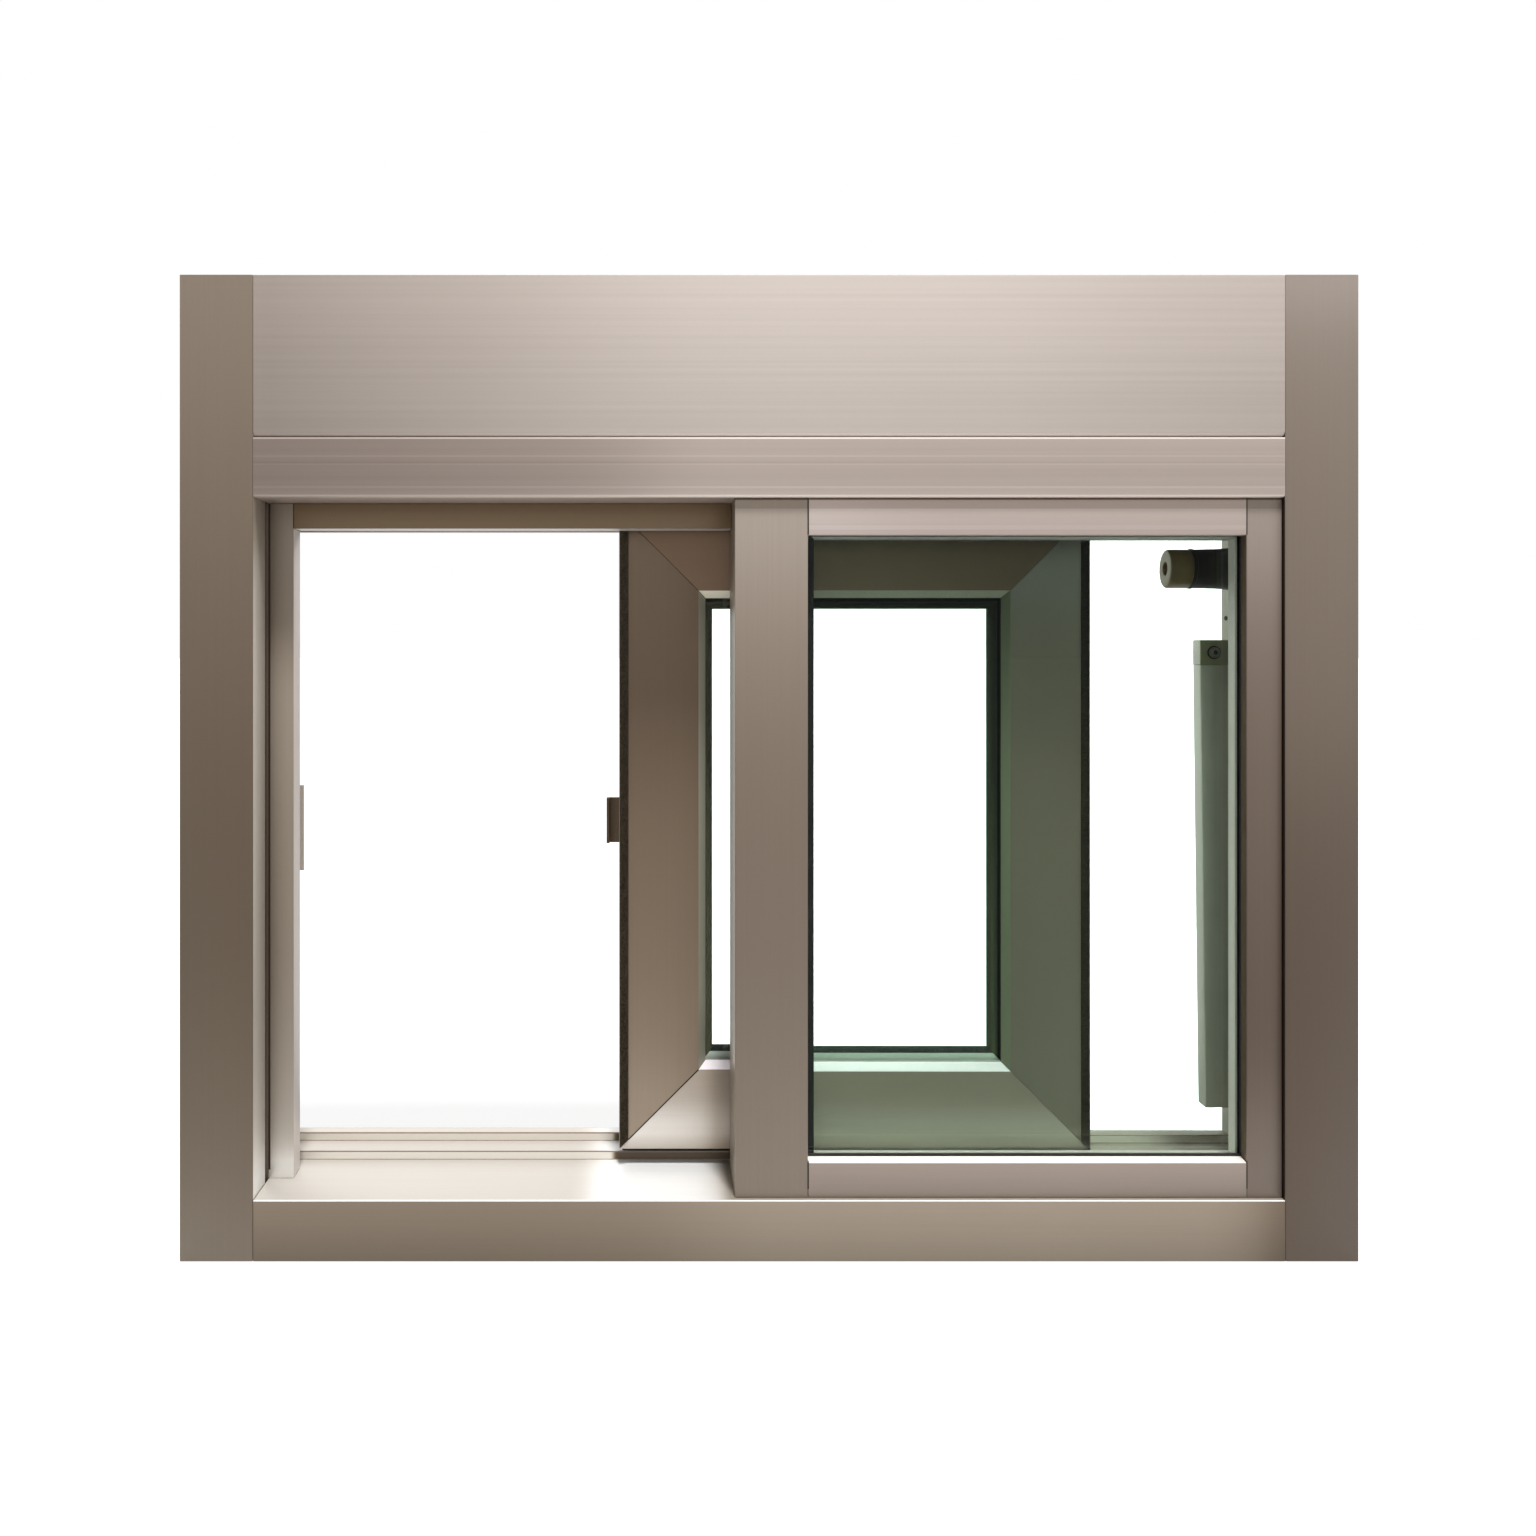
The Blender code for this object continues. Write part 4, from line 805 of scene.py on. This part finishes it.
def bristleTree(material):
    # Thin leaning cones scattered over the faces that come in
    tree = bpy.data.node_groups.new("bristles", "GeometryNodeTree")
    tree.interface.new_socket("Geometry", in_out="INPUT", socket_type="NodeSocketGeometry")
    for label, kind in (
        ("Density", "NodeSocketFloat"),
        ("Bristle Length", "NodeSocketFloat"),
        ("Bristle Radius", "NodeSocketFloat"),
        ("Lean", "NodeSocketFloat"),
        ("Seed", "NodeSocketInt"),
    ):
        tree.interface.new_socket(label, in_out="INPUT", socket_type=kind)
    tree.interface.new_socket("Geometry", in_out="OUTPUT", socket_type="NodeSocketGeometry")
    link = tree.links.new
    source = addNode(tree, "NodeGroupInput")
    result = addNode(tree, "NodeGroupOutput")
    scatter = addNode(tree, "GeometryNodeDistributePointsOnFaces")
    link(source.outputs["Geometry"], scatter.inputs["Mesh"])
    link(source.outputs["Density"], scatter.inputs["Density"])
    link(source.outputs["Seed"], scatter.inputs["Seed"])
    cone = addNode(tree, "GeometryNodeMeshCone", fill_type="NONE")
    cone.inputs["Vertices"].default_value = pileLook["sides"]
    link(source.outputs["Bristle Length"], cone.inputs["Depth"])
    link(source.outputs["Bristle Radius"], cone.inputs["Radius Bottom"])
    thin = addMath(tree, "MULTIPLY", source.outputs["Bristle Radius"], pileLook["tip"])
    link(thin, cone.inputs["Radius Top"])
    lean = addNode(tree, "FunctionNodeRandomValue", data_type="FLOAT_VECTOR")
    back = addMath(tree, "MULTIPLY", source.outputs["Lean"], -1.0)
    ends = []
    for amount, turn in ((back, 0.0), (source.outputs["Lean"], 2 * math.pi)):
        join = addNode(tree, "ShaderNodeCombineXYZ")
        link(amount, join.inputs["X"])
        link(amount, join.inputs["Y"])
        join.inputs["Z"].default_value = turn
        ends.append(join.outputs["Vector"])
    link(ends[0], lean.inputs["Min"])
    link(ends[1], lean.inputs["Max"])
    link(source.outputs["Seed"], lean.inputs["Seed"])
    turned = addNode(tree, "FunctionNodeRotateRotation", rotation_space="LOCAL")
    link(scatter.outputs["Rotation"], turned.inputs["Rotation"])
    link(lean.outputs["Value"], turned.inputs["Rotate By"])
    size = addNode(tree, "FunctionNodeRandomValue", data_type="FLOAT")
    floats = [socket for socket in size.inputs if socket.type == "VALUE"]
    floats[0].default_value = pileLook["shortest"]
    floats[1].default_value = 1.0
    place = addNode(tree, "GeometryNodeInstanceOnPoints")
    link(scatter.outputs["Points"], place.inputs["Points"])
    link(cone.outputs["Mesh"], place.inputs["Instance"])
    link(turned.outputs["Rotation"], place.inputs["Rotation"])
    value = next(s for s in size.outputs if s.type == "VALUE" and s.enabled)
    link(value, place.inputs["Scale"])
    realize = addNode(tree, "GeometryNodeRealizeInstances")
    link(place.outputs["Instances"], realize.inputs["Geometry"])
    paint = addNode(tree, "GeometryNodeSetMaterial")
    paint.inputs["Material"].default_value = material
    link(realize.outputs["Geometry"], paint.inputs["Geometry"])
    link(paint.outputs["Geometry"], result.inputs["Geometry"])
    return tree


def grown(name, bm, tree, values):
    # Runs a node tree on a mesh and keeps what it makes as a plain mesh
    mesh = bpy.data.meshes.new(f"{name}_start")
    bm.to_mesh(mesh)
    bm.free()
    item = bpy.data.objects.new(name, mesh)
    bpy.context.scene.collection.objects.link(item)
    modifier = item.modifiers.new("nodes", "NODES")
    modifier.node_group = tree
    for socket in tree.interface.items_tree:
        if socket.in_out == "INPUT" and socket.name in values:
            modifier[socket.identifier] = values[socket.name]
    graph = bpy.context.evaluated_depsgraph_get()
    made = bpy.data.meshes.new_from_object(item.evaluated_get(graph))
    item.modifiers.remove(modifier)
    item.data = made
    return item


bristles = bristleTree(pileMaterial)


def brushStrip(side):
    # A dense backing with bristles standing on it, in the shape of the CAD strip
    name = f"sash_pile_{side}"
    low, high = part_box(name)
    reach = high.z - low.z if side == "bottom" else high.y - low.y
    core = pileLook["core"] * reach
    bm = bmesh.new()
    if side == "bottom":
        middle = (low.y + high.y) / 2
        front = middle - pileLook["sillHalf"]
        back = middle + pileLook["sillHalf"]
        foot = [
            (low.x, front, high.z),
            (high.x, front, high.z),
            (high.x, back, high.z),
            (low.x, back, high.z),
        ]
        out = Vector((0, 0, -1))
    else:
        width = high.x - low.x
        if side == "left":
            ends = ((low.x, low.z, high.z), (high.x, low.z + width, high.z - width))
        else:
            ends = ((high.x, low.z, high.z), (low.x, low.z + width, high.z - width))
        (outX, outLow, outHigh), (inX, inLow, inHigh) = ends
        foot = [
            (outX, high.y, outLow),
            (inX, high.y, inLow),
            (inX, high.y, inHigh),
            (outX, high.y, outHigh),
        ]
        out = Vector((0, -1, 0))
    face = bm.faces.new([bm.verts.new(point) for point in foot])
    face.normal_update()
    if face.normal.dot(out) < 0:
        face.normal_flip()
    values = {label: pileLook[label] for label in ("Density", "Bristle Radius", "Lean")}
    values["Bristle Length"] = reach
    values["Seed"] = pileLook["seeds"][side]
    strip = grown(f"{name}_bristles", bm, bristles, values)
    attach(strip, "root")
    bm = bmesh.new()
    near = [bm.verts.new(point) for point in foot]
    far = [bm.verts.new(Vector(point) + out * core) for point in foot]
    bm.faces.new(near)
    bm.faces.new(far[::-1])
    for number in range(4):
        bm.faces.new((near[number - 1], near[number], far[number], far[number - 1]))
    addPiece(f"{name}_core", bm, pileMaterial, (name,))
    print(name, len(strip.data.polygons), "faces")


for pileSide in pileLook["seeds"]:
    brushStrip(pileSide)
print("brushes made")


def turnedMesh(bm, outline, centre, axis, sides, hexRings=()):
    # outline is (radius, along) from the front pole to the back one. Rings named in hexRings
    # are drawn as hexagons, for a socket.
    axis = Vector(axis).normalized()
    across = axis.orthogonal().normalized()
    up = axis.cross(across)
    centre = Vector(centre)
    rings = []
    for number, (radius, along) in enumerate(outline):
        if radius == 0.0:
            rings.append([bm.verts.new(centre + axis * along)])
            continue
        ring = []
        for step in range(sides):
            angle = 2 * math.pi * step / sides
            reach = radius
            if number in hexRings:
                local = (angle + math.pi / 6) % (math.pi / 3) - math.pi / 6
                reach = radius / math.cos(local)
            ring.append(
                bm.verts.new(
                    centre
                    + axis * along
                    + across * (reach * math.cos(angle))
                    + up * (reach * math.sin(angle))
                )
            )
        rings.append(ring)
    for one, two in zip(rings, rings[1:]):
        for step in range(sides):
            if len(one) == 1:
                bm.faces.new((one[0], two[step - 1], two[step]))
            elif len(two) == 1:
                bm.faces.new((one[step - 1], one[step], two[0]))
            else:
                bm.faces.new((one[step - 1], one[step], two[step], two[step - 1]))


def arc(centreRadius, centreAlong, radius, start, end, steps=6):
    # Points (radius, along) of a round stretch between two angles in degrees
    turns = [math.radians(start + (end - start) * step / steps) for step in range(steps + 1)]
    return [
        (centreRadius + radius * math.cos(turn), centreAlong + radius * math.sin(turn))
        for turn in turns
    ]


def addDisc(bm, centre, axis, disc):
    # A thin round plate: its radii and its places on the axis, each at the front and back
    (frontRadius, backRadius), (front, back) = disc["radii"], disc["places"]
    outline = [(0.0, front), (frontRadius, front), (backRadius, back), (0.0, back)]
    turnedMesh(bm, outline, centre, axis, disc["sides"])


# Bumper. rib and flare are (growth past the tip's radius, place or share of the length), and
# flange is (growth past the flare's radius, distance from the wall).
bumperLook = {
    "colour": (138, 114, 70),
    "roughness": 0.38,
    "transmission": 0.15,
    "cloudScale": 90.0,
    "cloudDetail": 3.0,
    "cloudTone": 0.5,
    "sides": 96,
    "hole": 0.0075,
    "holeDepth": 0.0120,
    "holeEdge": 0.0012,
    "edge": 0.0028,
    "backEdge": 0.0008,
    "rib": ((-0.0006, 0.0), (0.0006, 0.0008), (0.0008, 0.0030), (0.0, 0.0038)),
    "flare": ((0.0006, 0.5), (0.0020, 0.8)),
    "flange": ((-0.0008, 0.0070), (0.0, 0.0060), (0.0, 0.0006), (-0.0006, 0.0)),
    "slant": 0.30,
    "slantStart": 0.008,
    "slantReach": 1.4,
}
amberMaterial, amberTree, amberShader = newMaterial("amber_rubber", bumperLook["roughness"])
amberShader.inputs["Transmission Weight"].default_value = bumperLook["transmission"]
cloudScale, cloudDetail = bumperLook["cloudScale"], bumperLook["cloudDetail"]
amberCloud = addNoise(amberTree, objectPlace(amberTree), cloudScale, cloudDetail)
amberSwing = addMath(amberTree, "MULTIPLY", amberCloud, bumperLook["cloudTone"])
amberTone = addMath(amberTree, "ADD", amberSwing, 1.0 - bumperLook["cloudTone"] / 2)
tinted(amberTree, amberShader, srgb(*bumperLook["colour"]), amberTone)

tipLow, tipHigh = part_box("bumper_tip")
baseLow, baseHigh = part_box("bumper_base")
tipRadius = (tipHigh.z - tipLow.z) / 2
flareRadius = (baseHigh.z - baseLow.z) / 2
tipLength = tipHigh.x - tipLow.x
baseLength = baseHigh.x - baseLow.x
bumperCentre = (tipLow.x, (tipLow.y + tipHigh.y) / 2, (tipLow.z + tipHigh.z) / 2)
hole, holeDepth, holeEdge = (bumperLook[key] for key in ("hole", "holeDepth", "holeEdge"))
edge, backEdge = bumperLook["edge"], bumperLook["backEdge"]
tipOutline = [
    (0.0, holeDepth),
    (hole, holeDepth),
    *arc(hole + holeEdge, holeEdge, holeEdge, 180, 270),
    *arc(tipRadius - edge, edge, edge, 270, 360),
    (tipRadius, tipLength - backEdge),
    (tipRadius - backEdge, tipLength),
    (0.0, tipLength),
]
baseOutline = [
    (0.0, 0.0),
    *[(tipRadius + growth, place) for growth, place in bumperLook["rib"]],
    *[(tipRadius + growth, baseLength * share) for growth, share in bumperLook["flare"]],
    *[(flareRadius + growth, baseLength - back) for growth, back in bumperLook["flange"]],
    (0.0, baseLength),
]


def bumperPiece(name, outline, start, material, replaced):
    # Turned about the bumper's axis. The free end is cut on a slant that fades out
    # towards the wall.
    bm = bmesh.new()
    centre = (start, bumperCentre[1], bumperCentre[2])
    turnedMesh(bm, outline, centre, (1, 0, 0), bumperLook["sides"])
    fadeEnd = baseHigh.x - bumperLook["slantStart"]
    fadeLength = tipLength * bumperLook["slantReach"]
    for vert in bm.verts:
        share = min(1.0, max(0.0, (fadeEnd - vert.co.x) / fadeLength))
        vert.co.x += bumperLook["slant"] * share * (vert.co.y - bumperCentre[1])
    addPiece(name, bm, material, (replaced,))


bumperPiece("bumper_tip_turned", tipOutline, tipLow.x, amberMaterial, "bumper_tip")
bumperPiece("bumper_base_turned", baseOutline, baseLow.x, blackRubber, "bumper_base")

screwLook = {
    "socket": 0.42,
    "socketDepth": 0.45,
    "sides": 24,
    "sink": 0.0002,
    "Head Radius": 0.0034,
    "headHeight": 0.5,
    "headSink": 0.06,
    "shares": (0.14, 0.86),
    "keeperInset": 0.010,
    "latchInset": 0.012,
}


def screwMesh(bm, centre, axis, radius, height, sink):
    # Button head with a hexagon socket, standing on its face
    socket = radius * screwLook["socket"]
    bottom = height * screwLook["socketDepth"]
    outline = [
        (0.0, bottom),
        (socket, bottom),
        (socket, height),
        *arc(radius - height, 0.0, height, 90, 0),
        (radius, -sink),
        (0.0, -sink),
    ]
    turnedMesh(bm, outline, centre, axis, screwLook["sides"], (1, 2))


# The security bar's pivot bolt. The dark ring round it and the dark disc in its socket are painted
# shade.
boltLook = {
    "x": 0.4978,
    "radius": 0.0061,
    "height": 0.0030,
    "proud": 0.0004,
    "ring": {"radii": (0.0072, 0.0074), "places": (0.0006, -0.0002), "sides": 48},
    "socket": {"radii": (0.0029, 0.0029), "places": (0.0002, -0.0001), "sides": 24},
    "socketProud": 0.0019,
}
towardsFront = Vector((0, -1, 0))
screwMaterial = plain("screw_steel", srgb(150, 145, 128), 0.35, 0.5, 0.1, 500.0)
blockLow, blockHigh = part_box("bar_pivot_block")
boltPlace = Vector((boltLook["x"], blockLow.y, (blockLow.z + blockHigh.z) / 2))
socketPlace = boltPlace + towardsFront * boltLook["socketProud"]
bm = bmesh.new()
addDisc(bm, boltPlace, towardsFront, boltLook["ring"])
addDisc(bm, socketPlace, towardsFront, boltLook["socket"])
addPiece("bolt_shadow", bm, paintedHoleShade)
bm = bmesh.new()
boltFoot = boltPlace + towardsFront * boltLook["proud"]
screwMesh(bm, boltFoot, towardsFront, boltLook["radius"], boltLook["height"], screwLook["sink"])
addPiece("pivot_bolt", bm, screwMaterial)


def screwTree(material):
    # A turned head on every point of the mesh that comes in, facing backwards
    tree = bpy.data.node_groups.new("screws", "GeometryNodeTree")
    for label, kind in (
        ("Geometry", "NodeSocketGeometry"),
        ("Head", "NodeSocketObject"),
        ("Head Radius", "NodeSocketFloat"),
    ):
        tree.interface.new_socket(label, in_out="INPUT", socket_type=kind)
    tree.interface.new_socket("Geometry", in_out="OUTPUT", socket_type="NodeSocketGeometry")
    link = tree.links.new
    source = addNode(tree, "NodeGroupInput")
    result = addNode(tree, "NodeGroupOutput")
    head = addNode(tree, "GeometryNodeObjectInfo")
    link(source.outputs["Head"], head.inputs["Object"])
    place = addNode(tree, "GeometryNodeInstanceOnPoints")
    place.inputs["Rotation"].default_value = (-math.pi / 2, 0.0, 0.0)
    link(source.outputs["Geometry"], place.inputs["Points"])
    link(head.outputs["Geometry"], place.inputs["Instance"])
    link(source.outputs["Head Radius"], place.inputs["Scale"])
    realize = addNode(tree, "GeometryNodeRealizeInstances")
    link(place.outputs["Instances"], realize.inputs["Geometry"])
    paint = addNode(tree, "GeometryNodeSetMaterial")
    paint.inputs["Material"].default_value = material
    link(realize.outputs["Geometry"], paint.inputs["Geometry"])
    link(paint.outputs["Geometry"], result.inputs["Geometry"])
    return tree


# The head is turned at a radius of 1 and scaled by the tree
headMesh = bpy.data.meshes.new("screw_head")
bm = bmesh.new()
screwMesh(bm, (0, 0, 0), (0, 0, 1), 1.0, screwLook["headHeight"], screwLook["headSink"])
bmesh.ops.recalc_face_normals(bm, faces=bm.faces)
bm.to_mesh(headMesh)
bm.free()
head = bpy.data.objects.new("screw_head", headMesh)
latchLow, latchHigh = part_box("sash_latch")
keeperLow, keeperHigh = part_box("latch_keeper")
bm = bmesh.new()
for x, low, high in (
    (keeperLow.x + screwLook["keeperInset"], keeperLow, keeperHigh),
    (latchHigh.x - screwLook["latchInset"], latchLow, latchHigh),
):
    for share in screwLook["shares"]:
        bm.verts.new((x, high.y, low.z + share * (high.z - low.z)))
values = {"Head": head, "Head Radius": screwLook["Head Radius"]}
finishPiece(grown("fixings", bm, screwTree(screwMaterial), values))
bpy.data.objects.remove(head)
# Small holes in the right pocket's return, drawn as dark discs: their dark is painted shade
bm = bmesh.new()
holeX = pocketLook["face"] - pocketLook["holeProud"]
holeY = frontY + pocketLook["holeDepth"]
for height in pocketLook["holes"]:
    addDisc(bm, (holeX, holeY, height), (1, 0, 0), pocketLook["hole"])
addPiece("pocket_holes", bm, paintedHoleShade)
print("hardware made")

for nodeName, nodeMaterial in (
    ("left_hanger", zincSteel),
    ("right_hanger", zincSteel),
    # The latch's dark brown is painted shade and the keeper's near white is painted light
    ("sash_latch", plain("latch_steel", srgb(98, 80, 60), 0.4, 0.4, 0.14, 300.0)),
    ("latch_keeper", plain("keeper_steel", srgb(236, 227, 217), 0.45, 0.15, 0.1, 300.0)),
    ("sash_guide_shoe", nylonBlack),
):
    easedCopy(nodeName, nodeMaterial, hardwareEdge)
print("hidden hardware made")

floorLook = {
    "size": 60.0,
    "level": -0.0002,
    "colour": (0.38, 0.38, 0.38),
    "roughness": 0.9,
    "glow": 0.64,
    "throughGlass": 2.6,
    "darkInGlass": 0.95,
}
floorMesh = bpy.data.meshes.new("floor")
size, level = floorLook["size"], floorLook["level"]
corners = [(x, y, level) for x, y in ((-size, -size), (size, -size), (size, size), (-size, size))]
floorMesh.from_pydata(corners, [], [(0, 1, 2, 3)])
floor = bpy.data.objects.new("floor", floorMesh)
bpy.context.scene.collection.objects.link(floor)
floorMaterial, floorTree, floorShader = newMaterial("floor_white", floorLook["roughness"])
floorShader.inputs["Base Color"].default_value = (*floorLook["colour"], 1.0)
floorShader.inputs["Specular IOR Level"].default_value = 0.0
floorShader.inputs["Emission Color"].default_value = (1, 1, 1, 1)


def seenStraight(tree, path, output):
    # 1 on a ray that has met nothing but glass on its way, and that never turned back
    straight = addMath(tree, "ADD", path.outputs["Glossy Depth"], path.outputs["Diffuse Depth"])
    straight = addMath(tree, "LESS_THAN", straight, 0.5)
    return addMath(tree, "MULTIPLY", path.outputs[output], straight)


def mirroredInGlass(tree, path):
    # 1 on a ray that a smooth pane has mirrored
    turnedBack = addMath(tree, "GREATER_THAN", path.outputs["Glossy Depth"], 0.5)
    return addMath(tree, "MULTIPLY", turnedBack, path.outputs["Is Singular Ray"])


floorPath = addNode(floorTree, "ShaderNodeLightPath")
direct = addMath(floorTree, "MULTIPLY", floorPath.outputs["Is Camera Ray"], floorLook["glow"])
throughPanes = seenStraight(floorTree, floorPath, "Is Transmission Ray")
throughPanes = addMath(floorTree, "MULTIPLY", throughPanes, floorLook["throughGlass"])
glow = addMath(floorTree, "ADD", direct, throughPanes)
floorTree.links.new(glow, floorShader.inputs["Emission Strength"])
# Mirrored in a pane the floor stays dark, like the rest of the room
darkened = addMath(
    floorTree, "MULTIPLY", mirroredInGlass(floorTree, floorPath), floorLook["darkInGlass"]
)
tinted(floorTree, floorShader, floorLook["colour"], addMath(floorTree, "SUBTRACT", 1.0, darkened))
floorMesh.materials.append(floorMaterial)
floor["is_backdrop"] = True

# One soft lamp high in front, and a room that is brighter behind the window
lightLook = {
    "toLamp": (0.066, -0.215, 0.974),
    "key": 4.1,
    "angle": 0.11,
    "front": 0.57,
    "back": 1.25,
    "turn": (-0.15, 0.45),
    "seenPlain": 1.0,
    "throughGlass": 2.7,
    "inGlass": 0.04,
}
sunData = bpy.data.lights.new("key", "SUN")
sunData.energy = lightLook["key"]
sunData.angle = lightLook["angle"]
sun = bpy.data.objects.new("key", sunData)
sun.visible_glossy = False
sun.rotation_euler = Vector(lightLook["toLamp"]).to_track_quat("Z", "Y").to_euler()
bpy.context.scene.collection.objects.link(sun)

world = bpy.data.worlds.new("room")
bpy.context.scene.world = world
world.use_nodes = True
worldTree = world.node_tree
background = worldTree.nodes["Background"]
background.inputs["Color"].default_value = (1, 1, 1, 1)
worldPath = addNode(worldTree, "ShaderNodeLightPath")
direction = addNode(worldTree, "ShaderNodeTexCoord")
split = addNode(worldTree, "ShaderNodeSeparateXYZ")
worldTree.links.new(direction.outputs["Generated"], split.inputs["Vector"])
swing = addNode(worldTree, "ShaderNodeMapRange", interpolation_type="SMOOTHSTEP")
ends = (*lightLook["turn"], lightLook["front"], lightLook["back"])
for label, value in zip(("From Min", "From Max", "To Min", "To Max"), ends):
    swing.inputs[label].default_value = value
worldTree.links.new(split.outputs["Y"], swing.inputs["Value"])
strength = swing.outputs["Result"]


def towards(tree, value, target, share):
    # Moves a value to the target by a share between 0 and 1
    change = addMath(tree, "SUBTRACT", target, value)
    return addMath(tree, "ADD", value, addMath(tree, "MULTIPLY", change, share))


mirrored = mirroredInGlass(worldTree, worldPath)
strength = towards(worldTree, strength, lightLook["inGlass"], mirrored)
for output, level in (
    ("Is Camera Ray", lightLook["seenPlain"]),
    ("Is Transmission Ray", lightLook["throughGlass"]),
):
    strength = towards(worldTree, strength, level, seenStraight(worldTree, worldPath, output))
worldTree.links.new(strength, background.inputs["Strength"])

# Level and square to the window, as the photo was taken
cameraLook = {
    "place": (-0.132, -0.90115, 0.6255),
    "lens": 19.34,
    "sensor": 36.0,
    "shift": (0.0833, -0.0768),
    "clip": (0.05, 200.0),
}
cameraData = bpy.data.cameras.new("camera")
cameraData.sensor_width = cameraLook["sensor"]
cameraData.lens = cameraLook["lens"]
cameraData.shift_x, cameraData.shift_y = cameraLook["shift"]
cameraData.clip_start, cameraData.clip_end = cameraLook["clip"]
camera = bpy.data.objects.new("camera", cameraData)
camera.location = cameraLook["place"]
camera.rotation_euler = (math.pi / 2, 0.0, 0.0)
bpy.context.scene.collection.objects.link(camera)
bpy.context.scene.camera = camera
bpy.context.scene.view_settings.view_transform = "Standard"
print("floor, light and camera set")

low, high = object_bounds()
print("cad", cadLow, cadHigh, "visual", low, high)
